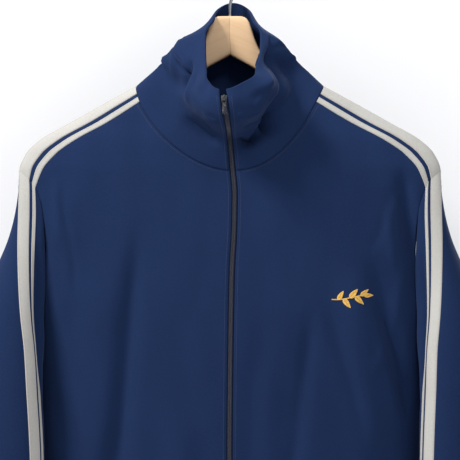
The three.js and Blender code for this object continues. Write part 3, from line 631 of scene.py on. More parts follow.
@dataclass
class CollarForm:
    """The tall stand collar above its seam, turned out and then up round the neck of the hanger."""

    body: BodyForm
    rings: tuple[CollarRing, ...] = (
        CollarRing(1, 73, -17, -116, 0, -64, -205, 16, -116, 1.35, 1.35),
        CollarRing(1.5, 52, -27, -93, -4, -101, -178, 17, -80, 1, 1.2),
        CollarRing(3.5, 30, -31, -85, -8, -95, -151, 13, -48, 0.72, 1.3),
    )
    folds: tuple[TubeFold, ...] = each(
        TubeFold,
        (52, 10, 0.3, 1.05, 10, -10), (76, 9, 0.25, 0.98, -14, -8), (-62, 9, 0.35, 0.95, -5, 18),
        (-84, 9, 0.3, 0.9, 4, 10), (28, 12, 0.2, 0.62, -5, 20), (-24, 14, 0.2, 0.55, -4, -12),
        (150, 14, 0.2, 0.9, -2.5, 8), (-152, 13, 0.2, 0.85, -2.2, -10), (118, 9, 0.15, 0.7, 1.8, 10),
    )
    height: float = 120.0
    creases: tuple[Crease, ...] = each(
        Crease,
        ((30, 18), (76, 96), 2.8, -18, 3.6, -11, 0.2), ((62, 78), (94, 108), 2.8, -5, 3.0, -3, 0.3),
        ((14, 22), (44, 50), 3.0, -7, 2.4, -4), ((24, 40), (80, 124), 5.5, 3.5, 1.0, -14),
        ((-52, 62), (-74, 104), 3.2, -6.0, 1.8), ((-80, 76), (-58, 86), 2.6, -5.2),
        ((-44, 60), (-64, 108), 4.5, 3.4), ((-120, 92), (-70, 86), 3.2, 3.4),
        ((-118, 82), (-72, 78), 3.0, -3.0), ((-116, 62), (-76, 56), 3.4, 3.0),
        ((-112, 52), (-78, 47), 3.4, -2.6), ((6, 46), (20, 23), 2.8, -6.4, 1.4),
        ((4, 34), (42, 25), 6.0, -5.0), ((-6, 36), (-44, 40), 6.5, -5.0), ((9, 88), (34, 66), 4.5, 2.2),
        ((8, 70), (30, 58), 4.5, -1.5), ((-10, 84), (-36, 70), 5.0, -1.4), ((96, 70), (78, 100), 3.4, -2.6),
        ((112, 56), (84, 62), 3.6, 2.2), ((46, 92), (42, 146), 11.0, 7.0),
        ((-44, 96), (-42, 146), 10.0, 3.0), ((-44, 50), (34, 46), 13.0, -5.0),
        ((-40, 108), (30, 106), 12.0, 3.0), ((-34, 64), (-6, 44), 3.2, -2.6),
        ((12, 62), (40, 50), 3.4, -3.0), ((-30, 82), (-4, 66), 3.2, 2.0),
        ((-88, 108), (-66, 52), 4.0, 2.4, 1.0, 4), ((122, 92), (120, 146), 15.0, -5.0),
        ((-122, 92), (-120, 146), 15.0, -5.0),
    )

    def point(self, around: Array, up: Array) -> Array:
        """Points of the collar.

        Args:
            around: 0 at the zip and 90 at the +X side, in degrees.
            up: 0 at its seam and 1 at its top.
        Returns:
            The points.
        """
        around, up = np.broadcast_arrays(np.asarray(around, float), np.asarray(up, float))
        knots = [self.body.point(*self.body.neck_seam(around))]
        knots += [ring.point(around) for ring in self.rings]
        points = along_knots(knots, up)
        out = np.zeros_like(up)
        for fold in self.folds:
            out = out + fold.height(around, up)
        for crease in self.creases:
            out = out + crease.height(around, self.height * up)
        points[..., 0] += out * np.sin(np.radians(around))
        points[..., 1] -= out * np.cos(np.radians(around))
        return points


def along_knots(knots: Sequence[Array], share: Array) -> Array:
    """Points on smooth lines through a few knots, at shares of the chords' length.

    Args:
        knots: the knots of all the lines, one array for each place on the line.
        share: how far along each line, from 0 to 1.
    Returns:
        The points.
    """
    chords = [np.linalg.norm(b - a, axis=-1) for a, b in zip(knots, knots[1:])]
    starts = [np.zeros_like(chords[0])]
    for chord in chords:
        starts.append(starts[-1] + chord)
    place = np.clip(share, 0.0, 1.0) * starts[-1]
    rises = [(b - a) / chord[..., None] for a, b, chord in zip(knots, knots[1:], chords)]
    slopes = [rises[0]]
    for i in range(1, len(knots) - 1):
        weight = (chords[i - 1] / (chords[i - 1] + chords[i]))[..., None]
        slopes.append(rises[i - 1] * (1.0 - weight) + rises[i] * weight)
    slopes.append(rises[-1])
    result = np.zeros_like(knots[0])
    for i, chord in enumerate(chords):
        inside = (place > starts[i]) if i else np.full(place.shape, True)
        t = np.clip((place - starts[i]) / chord, 0.0, 1.0)[..., None]
        width = chord[..., None]
        piece = (2 * t**3 - 3 * t**2 + 1) * knots[i] + (t**3 - 2 * t**2 + t) * width * slopes[i]
        piece = piece + (3 * t**2 - 2 * t**3) * knots[i + 1] + (t**3 - t**2) * width * slopes[i + 1]
        result = np.where(inside[..., None], piece, result)
    return result


@dataclass
class ZipPath:
    """The zip's line from the hem (0) to the top of the collar (1), and the cloth to both sides of it."""

    body: BodyForm
    collar: CollarForm
    body_share: float = 0.85
    gap_half: float = 3.6
    steps: tuple[float, float] = (0.5, 0.003)

    def around_beside(self, across: Array, up: Array) -> Array:
        """The angle round the collar at a distance from the zip's middle line."""
        half = lerp(self.body.neck_half_width, self.collar.rings[-1].half, np.clip(up, 0, 1) ** 0.8)
        return np.degrees(np.arcsin(across / half))

    def point(self, across: Array, share: Array) -> Array:
        """Points beside the zip's line.

        Args:
            across: the distance from the line, to +X.
            share: 0 at the hem and 1 at the top of the collar.
        Returns:
            The points.
        """
        across, share = np.broadcast_arrays(np.asarray(across, float), np.asarray(share, float))
        neck_front = self.body.neck_height - self.body.neck_front_drop
        height = lerp(self.body.hem, neck_front, np.minimum(share / self.body_share, 1.0))
        low = self.body.point(self.body.turn_beside_zip(across, height), height)
        up = np.clip((share - self.body_share) / (1.0 - self.body_share), 0.0, 1.0)
        high = self.collar.point(self.around_beside(across, up), up)
        return np.where((share <= self.body_share)[..., None], low, high)


# Sheets of cloth


@dataclass
class Sheet:
    """A grid of points on a surface with their normals, flat places and distances from the sewn edges."""

    points: Array
    normals: Array
    flat: Array
    edge: Array
    closed: bool = False

    @property
    def rows(self) -> Array:
        """The rows of points, with the first point once more at the end where they close."""
        return np.concatenate([self.points, self.points[:, :1]], 1) if self.closed else self.points

    @property
    def area(self) -> float:
        """The flat area in square metres.

        Returns:
            Half the product of the diagonals of each small face, in all.
        """
        grid = self.rows
        one, two = grid[1:, 1:] - grid[:-1, :-1], grid[1:, :-1] - grid[:-1, 1:]
        return float(np.linalg.norm(np.cross(one, two), axis=-1).sum() / 2.0) * MM * MM

    @property
    def size(self) -> tuple[float, float]:
        """The longest row and the longest column, in metres.

        Returns:
            The flat width and the flat length.
        """
        width = np.linalg.norm(np.diff(self.rows, axis=1), axis=-1).sum(1).max()
        length = np.linalg.norm(np.diff(self.rows, axis=0), axis=-1).sum(0).max()
        return float(width) * MM, float(length) * MM


class Edges(Enum):
    """The edges of a grid: its first and last rows, and its first and last columns."""

    FIRST = "first"
    LAST = "last"
    START = "start"
    END = "end"


def edge_distances(points: Array, sewn: Sequence[Edges]) -> Array:
    """How far the points of a grid are from some of its edges, along its rows and columns.

    Args:
        points: the grid.
        sewn: the edges.
    Returns:
        The distance of each point from the nearest of them.
    """
    rows = np.linalg.norm(np.diff(points, axis=1), axis=-1)
    columns = np.linalg.norm(np.diff(points, axis=0), axis=-1)
    from_start = np.concatenate([np.zeros((points.shape[0], 1)), np.cumsum(rows, 1)], 1)
    from_first = np.concatenate([np.zeros((1, points.shape[1])), np.cumsum(columns, 0)], 0)
    found = {
        Edges.START: from_start,
        Edges.END: from_start[:, -1:] - from_start,
        Edges.FIRST: from_first,
        Edges.LAST: from_first[-1:] - from_first,
    }
    return np.min([found[edge] for edge in sewn] + [np.full(points.shape[:2], 1e3)], axis=0)


def normals_on(surface: Surface, a: Array, b: Array, steps: tuple[float, float]) -> Array:
    """The way out of a surface.

    Args:
        surface: gives points for two parameters.
        a: the first parameter.
        b: the second one.
        steps: small steps of both; a minus one turns the normals round.
    Returns:
        A unit vector at each place.
    """
    across = surface(a + steps[0], b) - surface(a - steps[0], b)
    along = surface(a, b + steps[1]) - surface(a, b - steps[1])
    normals = np.cross(across, along)
    return normals / np.linalg.norm(normals, axis=-1, keepdims=True)


def sheet_on(surface: Surface, a: Array, b: Array, flat: Array, steps: tuple[float, float],
             sewn: Sequence[Edges] = tuple(Edges), closed: bool = False) -> Sheet:
    """Lays a grid on a surface.

    Args:
        surface: gives points for two parameters.
        a: the first parameter, which changes along the rows.
        b: the second one, which changes down the columns.
        flat: the flat places of the grid, in millimetres.
        steps: small steps of both parameters for the normals.
        sewn: the edges whose wall is turned in.
        closed: whether the rows close into rings.
    Returns:
        The sheet.
    """
    points = surface(a, b)
    return Sheet(points, normals_on(surface, a, b, steps), flat, edge_distances(points, sewn), closed)


def spaced(length: float, step: float, fine: Sequence[float] = (1.0, 1.9, 3.0, 4.4)) -> Array:
    """Shares of a length at about a step, with closer ones at both ends.

    Args:
        length: the whole length.
        step: the distance between two places.
        fine: the distances of the closer places from the ends.
    Returns:
        The shares, from 0 to 1.
    """
    inner = np.linspace(fine[-1], length - fine[-1], max(int((length - 2 * fine[-1]) / step), 2) + 1)
    near = np.array((0.0, *fine[:-1]))
    return np.concatenate([near, inner, length - near[::-1]]) / length


def grid_quads(rows: int, columns: int, stride: int, closed: bool, wrap: bool) -> Array:
    """The corners of a grid's quads.

    Args:
        rows: rows of points.
        columns: columns of points.
        stride: how many corners a row holds.
        closed: whether there is a column of quads from the last column to the first.
        wrap: whether those quads use the first column again or one past the last.
    Returns:
        Four corner numbers for each quad.
    """
    i, j = np.meshgrid(np.arange(rows - 1), np.arange(columns if closed else columns - 1), indexing="ij")
    after = (j + 1) % columns if wrap else j + 1
    corners = [i * stride + j, i * stride + after, (i + 1) * stride + after, (i + 1) * stride + j]
    return np.stack(corners, -1).reshape(-1, 4)


@dataclass
class Shell:
    """A closed mesh: its points, its quads, and the flat place of each corner.

    On cloth, each point also knows whether it is on the outer skin and how far it is from a seam.
    """

    points: Array
    quads: Array
    flat: Array
    is_outer: Array
    edge: Array

    @staticmethod
    def without_seams(points: Array, quads: Array, flat: Array) -> Shell:
        """A mesh of a hard piece, far from any seam."""
        return Shell(points, quads, flat, np.ones(len(points)), np.full(len(points), NO_SEAM))


def wall_on(sheet: Sheet, inner: float, outer: float, roll: float = 2.0, sink: float = 0.42) -> Shell:
    """Makes a closed wall of cloth, whose outer skin rolls in towards the sewn edges.

    Args:
        sheet: the grid that the wall is made on.
        inner: how far the inner skin is from the grid, along the normals.
        outer: how far the outer skin is.
        roll: the width over which the outer skin rolls in.
        sink: the share of the wall's thickness that it has lost at the edge.
    Returns:
        The wall.
    """
    rows, columns = sheet.points.shape[:2]
    closeness = np.clip(1.0 - sheet.edge / roll, 0.0, 1.0)
    drop = (outer - inner) * sink * (1.0 - np.sqrt(1.0 - closeness**2 * 0.999))
    skins = [sheet.points + sheet.normals * (outer - drop)[..., None], sheet.points + sheet.normals * inner]
    flat_columns = columns + 1 if sheet.closed else columns
    if sheet.flat.shape[1] != flat_columns:
        raise ValueError("a closed sheet needs one more column of flat places than of points")
    layer, flat_layer = rows * columns, rows * flat_columns
    quads = grid_quads(rows, columns, columns, sheet.closed, sheet.closed)
    flats = grid_quads(rows, columns, flat_columns, sheet.closed, False)
    corners = [quads, quads[:, ::-1] + layer]
    places = [flats, flats[:, ::-1] + flat_layer]
    index = np.arange(layer).reshape(rows, columns)
    if sheet.closed:
        index = np.concatenate([index, index[:, :1]], 1)
    flat_index = np.arange(flat_layer).reshape(rows, flat_columns)
    rims = [np.s_[0], np.s_[-1, ::-1]] + ([] if sheet.closed else [np.s_[::-1, 0], np.s_[:, -1]])
    for rim in rims:
        for found, line, step in ((corners, index[rim], layer), (places, flat_index[rim], flat_layer)):
            here, ahead = line[:-1], line[1:]
            found.append(np.stack([here, here + step, ahead + step, ahead], -1))
    all_quads, all_flats = np.concatenate(corners), np.concatenate(places)
    middle = rows // 2
    one = sheet.points[middle, 1] - sheet.points[middle, 0]
    two = sheet.points[middle + 1, 0] - sheet.points[middle, 0]
    if np.dot(np.cross(one, two), sheet.normals[middle, 0]) < 0:
        all_quads, all_flats = all_quads[:, ::-1], all_flats[:, ::-1]
    flat_both = np.concatenate([sheet.flat.reshape(-1, 2)] * 2)
    is_outer = np.concatenate([np.ones(layer), np.zeros(layer)])
    points = np.concatenate([skin.reshape(-1, 3) for skin in skins])
    return Shell(points, all_quads, flat_both[all_flats], is_outer, np.concatenate([sheet.edge.ravel()] * 2))


def new_object(name: str, data: bpy.types.ID) -> bpy.types.Object:
    """Puts an object with its mesh, lamp or camera into the scene.

    Args:
        name: the name of the object.
        data: its mesh, lamp or camera.

    Returns:
        The object.
    """
    item = bpy.data.objects.new(name, data)
    bpy.context.scene.collection.objects.link(item)
    return item


def mark_points(mesh: bpy.types.Mesh, **marks: Array) -> None:
    """Gives the points of a mesh something to carry.

    Args:
        mesh: the mesh.
        marks: a value or a vector for each point, by the attribute's name.
    """
    for name, values in marks.items():
        kind, key = ("FLOAT_VECTOR", "vector") if values.ndim > 1 else ("FLOAT", "value")
        attribute = mesh.attributes.new(name, kind, "POINT")
        attribute.data.foreach_set(key, values.astype(np.float32).ravel())


def keep_result(piece: bpy.types.Object) -> bpy.types.Object:
    """Makes what a piece's modifiers give its plain mesh, and takes them off.

    Args:
        piece: the piece.
    Returns:
        The same piece.
    """
    bpy.context.view_layer.update()
    depsgraph = bpy.context.evaluated_depsgraph_get()
    mesh = bpy.data.meshes.new_from_object(piece.evaluated_get(depsgraph))
    piece.modifiers.clear()
    old = piece.data
    mesh.name = piece.name
    piece.data = mesh
    bpy.data.meshes.remove(old)
    return piece


def add_object(name: str, shell: Shell, material: bpy.types.Material,
               crease: float = 52.0) -> bpy.types.Object:
    """Makes a smooth-shaded object of a shell, with its flat places as UVs in metres.

    Args:
        name: the piece's name.
        shell: its mesh.
        material: its finish.
        crease: edges sharper than this many degrees stay sharp.
    Returns:
        The object.
    """
    mesh = bpy.data.meshes.new(name)
    mesh.from_pydata((shell.points * MM).tolist(), [], shell.quads.tolist())
    layer = mesh.uv_layers.new(name=UV_NAME)
    layer.data.foreach_set("uv", (shell.flat * MM).astype(np.float32).ravel())
    mark_points(mesh, seam_distance=shell.edge)
    mesh.shade_smooth()
    mesh.set_sharp_from_angle(angle=math.radians(crease))
    mesh.materials.append(material)
    mesh.validate()
    return new_object(name, mesh)


# Node trees

FLOAT, VECTOR, COLOUR = "NodeSocketFloat", "NodeSocketVector", "NodeSocketColor"
GEOMETRY, MATERIAL = "NodeSocketGeometry", "NodeSocketMaterial"


class Graph:
    """Adds nodes to a tree and joins them."""

    def __init__(self, tree: bpy.types.NodeTree) -> None:
        """Keeps the tree."""
        self.tree = tree

    def add(self, kind: str, values: Values | None = None, **settings: object) -> bpy.types.Node:
        """Adds a node.

        Args:
            kind: the node's type.
            values: what goes into its inputs, by name or number: values or other nodes' outputs.
            settings: the node's own properties.
        Returns:
            The node.
        """
        node = self.tree.nodes.new(kind)
        for name, value in settings.items():
            setattr(node, name, value)
        self.fill(node, values or {})
        return node

    def out(self, kind: str, values: Values | None = None, **settings: object) -> Socket:
        """Adds a node, as add does, and gives its first output."""
        return self.add(kind, values, **settings).outputs[0]

    def fill(self, node: bpy.types.Node, values: Values) -> None:
        """Joins other nodes' outputs to a node's inputs, or sets them. A colour has no opacity here.

        Args:
            node: the node.
            values: what goes into its inputs, by name or number.
        """
        for key, value in values.items():
            socket = node.inputs[key]
            if isinstance(value, Socket):
                self.tree.links.new(value, socket)
            else:
                socket.default_value = (*value, 1.0) if socket.type == "RGBA" else value

    def math(self, operation: str, *values: object) -> Socket:
        """The result of a maths node."""
        return self.out("ShaderNodeMath", dict(enumerate(values)), operation=operation)

    def ramp(self, value: object, low: float, high: float) -> Socket:
        """0 below low, 1 above high and smooth between them."""
        values = {"Value": value, "From Min": low, "From Max": high}
        return self.out("ShaderNodeMapRange", values, interpolation_type="SMOOTHSTEP")

    def spread(self, value: object, low: float, high: float) -> Socket:
        """A value from 0 to 1, spread out from low to high."""
        return self.out("ShaderNodeMapRange", {"Value": value, "To Min": low, "To Max": high})

    def mix(self, share: object, one: object, two: object) -> Socket:
        """A mix of two colours."""
        return self.add("ShaderNodeMix", {0: share, 6: one, 7: two}, data_type="RGBA").outputs[2]

    def noise(self, vector: object, scale: float, detail: float = 2.0) -> Socket:
        """The value of a noise."""
        return self.out("ShaderNodeTexNoise", {"Vector": vector, "Scale": scale, "Detail": detail})

    def stretched(self, vector: object, *scale: float) -> Socket:
        """A place with each of its numbers scaled."""
        return self.out("ShaderNodeMapping", {"Vector": vector, "Scale": scale})

    def relief(self, height: object, strength: float, distance: float) -> Socket:
        """The normal over a relief."""
        return self.out("ShaderNodeBump", {"Strength": strength, "Distance": distance, "Height": height})

    def carried(self, name: str, kind: str = "FLOAT_VECTOR") -> Socket:
        """What the points of a mesh carry under a name, in a geometry tree."""
        return self.out("GeometryNodeInputNamedAttribute", {"Name": name}, data_type=kind)


Group = tuple[bpy.types.NodeTree, Graph, Sequence[Socket], bpy.types.Node]


def new_group(name: str, kind: str, inputs: Sequence[tuple[str, str, object]],
              outputs: Sequence[tuple[str, str]]) -> Group:
    """Makes a node group with named sockets.

    Args:
        name: the group's name.
        kind: the type of tree.
        inputs: name, socket type and default value of each input.
        outputs: name and socket type of each output.
    Returns:
        The tree, its graph, what it is given, and its output node.
    """
    tree = bpy.data.node_groups.new(name, kind)
    for label, socket_type, value in inputs:
        socket = tree.interface.new_socket(name=label, in_out="INPUT", socket_type=socket_type)
        if value is not None:
            socket.default_value = value
    for label, socket_type in outputs:
        tree.interface.new_socket(name=label, in_out="OUTPUT", socket_type=socket_type)
    graph = Graph(tree)
    return tree, graph, graph.add("NodeGroupInput").outputs, graph.add("NodeGroupOutput")


class ShaderEffects:
    """The effects that several finishes use, each a node group built once."""

    def __init__(self) -> None:
        """Builds the groups."""
        self.knit = self.build_knit()
        self.tone = self.build_tone()
        self.weave = self.build_weave()

    @staticmethod
    def build_knit() -> bpy.types.NodeTree:
        """Plain knit: wales of small V stitches, a little uneven.

        Returns:
            The node group.
        """
        tree, g, given, end = new_group("knit_stitches", "ShaderNodeTree", (
            ("Vector", VECTOR, None), ("Wale", FLOAT, 1.0), ("Course", FLOAT, 0.8), ("Uneven", FLOAT, 0.2),
        ), (("Height", FLOAT), ("Shade", FLOAT)))
        part = g.add("ShaderNodeSeparateXYZ", {0: given["Vector"]})
        wander = g.noise(given["Vector"], 160.0)
        shift = g.math("MULTIPLY", g.math("SUBTRACT", wander, 0.5), given["Uneven"])
        across = g.math("ADD", g.math("DIVIDE", part.outputs[0], given["Wale"]), shift)
        beside = g.math("PINGPONG", across, 0.5)
        along = g.math("DIVIDE", part.outputs[1], given["Course"])
        slanted = g.math("ADD", along, g.math("MULTIPLY", beside, 1.3))
        loop = g.math("SINE", g.math("MULTIPLY", slanted, 2.0 * math.pi))
        round_leg = g.math("SINE", g.math("MULTIPLY", beside, 2.0 * math.pi))
        height = g.math("ADD", g.math("MULTIPLY", round_leg, 0.62), g.math("MULTIPLY", loop, 0.22))
        g.fill(end, {"Height": height, "Shade": g.ramp(height, -0.1, 0.75)})
        return tree

    @staticmethod
    def build_tone() -> bpy.types.NodeTree:
        """Soft change of tone over a cloth: paler where it is rubbed, darker in broad random patches, and
        painted shade beside its seams.

        Returns:
            The node group.
        """
        tree, g, given, end = new_group("cloth_tone", "ShaderNodeTree", (
            ("Vector", VECTOR, None), ("Colour", COLOUR, None), ("Deep", COLOUR, None),
            ("Worn", COLOUR, None), ("Stitch Shade", FLOAT, 1.0), ("Wear", FLOAT, 0.3),
        ), (("Colour", COLOUR),))
        broad = g.ramp(g.noise(given["Vector"], 9.0, 3.0), 0.38, 0.66)
        fine = g.ramp(g.noise(given["Vector"], 420.0, 1.0), 0.3, 0.75)
        seam = g.add("ShaderNodeAttribute", attribute_name="seam_distance").outputs["Fac"]
        # painted shade: the cloth is darkened towards its deep colour within a few millimetres of a sewn
        # edge, where the seam's shade falls
        beside = g.math("SUBTRACT", 1.0, g.ramp(seam, 0.4, 5.0))
        deep = g.math("ADD", g.math("MULTIPLY", broad, 0.3), g.math("MULTIPLY", beside, 0.28))
        toned = g.mix(deep, given["Colour"], given["Deep"])
        fleck = g.math("MULTIPLY", g.math("MULTIPLY", fine, given["Stitch Shade"]), given["Wear"])
        g.fill(end, {"Colour": g.mix(fleck, toned, given["Worn"])})
        return tree

    @staticmethod
    def build_weave() -> bpy.types.NodeTree:
        """Close weave of two sets of threads on a slant, as in woven tape.

        Returns:
            The node group.
        """
        tree, g, given, end = new_group("close_weave", "ShaderNodeTree", (
            ("Vector", VECTOR, None), ("Thread", FLOAT, 0.5), ("Slant", FLOAT, 1.0),
            ("Rib Width", FLOAT, 3.0),
        ), (("Height", FLOAT), ("Shade", FLOAT)))
        part = g.add("ShaderNodeSeparateXYZ", {0: given["Vector"]})
        fold = g.math("PINGPONG", part.outputs[0], given["Rib Width"])
        slanted = g.math("ADD", part.outputs[1], g.math("MULTIPLY", fold, given["Slant"]))
        ribs = g.math("SINE", g.math("DIVIDE", slanted, g.math("MULTIPLY", given["Thread"], 0.159)))
        cross = g.math("SINE", g.math("DIVIDE", fold, g.math("MULTIPLY", given["Thread"], 0.12)))
        height = g.math("ADD", g.math("MULTIPLY", ribs, 0.7), g.math("MULTIPLY", cross, 0.3))
        g.fill(end, {"Height": height, "Shade": g.ramp(height, -0.8, 0.8)})
        return tree


def new_material(name: str) -> tuple[bpy.types.Material, Graph, bpy.types.Node]:
    """Makes a material with an empty graph but for its shader.

    Args:
        name: the material's name.
    Returns:
        The material, its graph and the shader node.
    """
    material = bpy.data.materials.new(name)
    material.use_nodes = True
    material.node_tree.nodes.clear()
    graph = Graph(material.node_tree)
    shader = graph.add("ShaderNodeBsdfPrincipled")
    graph.add("ShaderNodeOutputMaterial", {"Surface": shader.outputs["BSDF"]})
    return material, graph, shader


class Texture(Enum):
    """How a cloth is made up."""

    KNIT = "knit"
    WEAVE = "weave"


@dataclass(frozen=True)
class ClothFinish:
    """A knitted or woven cloth: its colours, its stitches and its nap. Stitch sizes are in millimetres."""

    name: str
    colour: Colour
    # the darker tone: used in broad random patches, and as painted shade beside the seams
    deep: Colour
    worn: Colour
    texture: Texture = Texture.KNIT
    wale: float = 0.95
    course: float = 0.75
    uneven: float = 0.3
    relief: float = 0.12
    wear: float = 0.3
    roughness: float = 0.88
    sheen: float = 0.1
    sheen_roughness: float = 0.45
    sheen_tint: Colour = (0.35, 0.45, 0.75)
    rib_width: float = 3.0

    def build(self, effects: ShaderEffects) -> bpy.types.Material:
        """Makes the material.

        Args:
            effects: the effects that finishes share.
        Returns:
            The material.
        """
        material, g, shader = new_material(self.name)
        uv = g.out("ShaderNodeUVMap", uv_map=UV_NAME)
        if self.texture is Texture.KNIT:
            tree = effects.knit
            sizes = {"Wale": self.wale * MM, "Course": self.course * MM, "Uneven": self.uneven}
        else:
            tree = effects.weave
            sizes = {"Thread": self.wale * MM, "Slant": 1.0, "Rib Width": self.rib_width * MM}
        cloth = g.add("ShaderNodeGroup", {"Vector": uv, **sizes}, node_tree=tree)
        shade = cloth.outputs["Shade"]
        tone = g.add("ShaderNodeGroup", {
            "Vector": uv, "Colour": self.colour, "Deep": self.deep, "Worn": self.worn, "Stitch Shade": shade,
            "Wear": self.wear,
        }, node_tree=effects.tone)
        fine = g.math("MULTIPLY", cloth.outputs["Height"], self.relief * MM)
        height = g.math("ADD", fine, g.math("MULTIPLY", g.noise(uv, 26.0, 3.0), 1.1 * MM))
        g.fill(shader, {
            "Base Color": tone.outputs["Colour"], "Normal": g.relief(height, 0.55, 1.0),
            "Roughness": g.spread(shade, self.roughness + 0.06, self.roughness - 0.04),
            "Sheen Weight": self.sheen, "Sheen Roughness": self.sheen_roughness,
            "Sheen Tint": self.sheen_tint, "Specular IOR Level": 0.12,
        })
        return material


@dataclass(frozen=True)
class ThreadFinish:
    """Sewing or embroidery thread, a little glossy."""

    name: str
    colour: Colour
    dark: Colour
    roughness: float = 0.55
    sheen: float = 0.2

    def build(self) -> bpy.types.Material:
        """Makes the material.

        Returns:
            The finished material.
        """
        material, g, shader = new_material(self.name)
        place = g.add("ShaderNodeTexCoord").outputs["Object"]
        tone = g.ramp(g.noise(place, 900.0, 1.0), 0.35, 0.7)
        twist = g.add("ShaderNodeTexWave", {"Vector": place, "Scale": 1400.0, "Distortion": 1.0},
                      bands_direction="DIAGONAL")
        g.fill(shader, {
            "Base Color": g.mix(tone, self.dark, self.colour), "Roughness": self.roughness,
            "Normal": g.relief(twist.outputs["Fac"], 0.4, 0.0001), "Sheen Weight": self.sheen,
        })
        return material


@dataclass(frozen=True)
class WoodFinish:
    """Pale lacquered wood, its grain along the arm."""

    name: str = "lacquered_wood"
    pale: Colour = (0.75, 0.505, 0.295)
    warm: Colour = (0.62, 0.372, 0.177)
    roughness: float = 0.42
    coat: float = 0.25
    coat_roughness: float = 0.3

    def build(self) -> bpy.types.Material:
        """Makes the material.

        Returns:
            The finished material.
        """
        material, g, shader = new_material(self.name)
        uv = g.out("ShaderNodeUVMap", uv_map=UV_NAME)
        rings = g.out("ShaderNodeTexNoise", {
            "Vector": g.stretched(uv, 6.0, 95.0, 1.0), "Scale": 2.2, "Detail": 5.0, "Distortion": 0.6,
        })
        bands = g.ramp(rings, 0.36, 0.68)
        pores = g.noise(g.stretched(uv, 14.0, 420.0, 1.0), 3.0, 2.0)
        fine = g.math("MULTIPLY", g.ramp(pores, 0.5, 0.75), 0.16)
        grain = g.math("ADD", g.math("MULTIPLY", bands, 0.24), fine)
        g.fill(shader, {
            "Base Color": g.mix(grain, self.pale, self.warm), "Normal": g.relief(pores, 0.25, 0.0004),
            "Roughness": g.spread(grain, self.roughness, self.roughness + 0.14),
            "Coat Weight": self.coat, "Coat Roughness": self.coat_roughness,
        })
        return material


@dataclass(frozen=True)
class MetalFinish:
    """A metal or hard enamel, with fine marks and rubbed places."""

    name: str
    colour: Colour
    rubbed: Colour
    metallic: float = 1.0
    roughness: float = 0.3
    marks: float = 160.0

    def build(self) -> bpy.types.Material:
        """Makes the material.

        Returns:
            The finished material.
        """
        material, g, shader = new_material(self.name)
        place = g.add("ShaderNodeTexCoord").outputs["Object"]
        cloud = g.ramp(g.noise(place, self.marks, 3.0), 0.45, 0.75)
        scratches = g.noise(g.stretched(place, 1.0, 1.0, 0.12), self.marks * 12.0, 1.0)
        g.fill(shader, {
            "Base Color": g.mix(cloud, self.colour, self.rubbed), "Metallic": self.metallic,
            "Roughness": g.spread(cloud, self.roughness, self.roughness + 0.2),
            "Normal": g.relief(scratches, 0.15, 0.0001),
        })
        return material


class Finishes:
    """All the finishes of the jacket and its hanger."""

    def __init__(self) -> None:
        """Builds the materials."""
        effects = ShaderEffects()
        # deep: the darker tone, also painted as shade beside the seams
        navy = {"colour": (0.0074, 0.0203, 0.068), "deep": (0.0056, 0.0158, 0.054),
                "worn": (0.0155, 0.036, 0.108)}
        self.knit = ClothFinish("navy_double_knit", **navy).build(effects)
        self.rib = ClothFinish("navy_rib_knit", **navy, wale=1.25, course=0.9, relief=0.16).build(effects)
        self.tape = ClothFinish(
            "pale_knitted_tape", (0.45, 0.437, 0.405), (0.36, 0.345, 0.318), (0.56, 0.545, 0.515), wale=0.9,
            course=0.8, wear=0.35, sheen=0.1, sheen_tint=(1.0, 0.98, 0.94), relief=0.14,
        ).build(effects)
        self.zip_cloth = ClothFinish(
            "woven_zip_tape", (0.013, 0.024, 0.068), (0.01, 0.018, 0.05), (0.025, 0.04, 0.1),
            texture=Texture.WEAVE, wale=0.55, rib_width=2.2, relief=0.1, sheen=0.1,
        ).build(effects)
        self.coil = MetalFinish("dark_coil", (0.03, 0.031, 0.046), (0.06, 0.06, 0.078), 0.0, 0.4,
                                700.0).build()
        self.enamel = MetalFinish("dark_satin_metal", (0.045, 0.047, 0.055), (0.14, 0.14, 0.15), 0.85, 0.36,
                                  400.0).build()
        self.steel = MetalFinish("plated_wire", (0.4, 0.41, 0.43), (0.3, 0.3, 0.31), 1.0, 0.22, 60.0).build()
        self.wood = WoodFinish().build()
        self.thread = ThreadFinish("navy_thread", (0.01, 0.024, 0.078), (0.007, 0.017, 0.058)).build()
        self.pale_thread = ThreadFinish("pale_thread", (0.42, 0.405, 0.37), (0.3, 0.29, 0.265)).build()
        self.gold_thread = ThreadFinish("gold_thread", (0.82, 0.5, 0.085), (0.62, 0.34, 0.045), 0.42,
                                        0.35).build()


# Geometry trees for what repeats


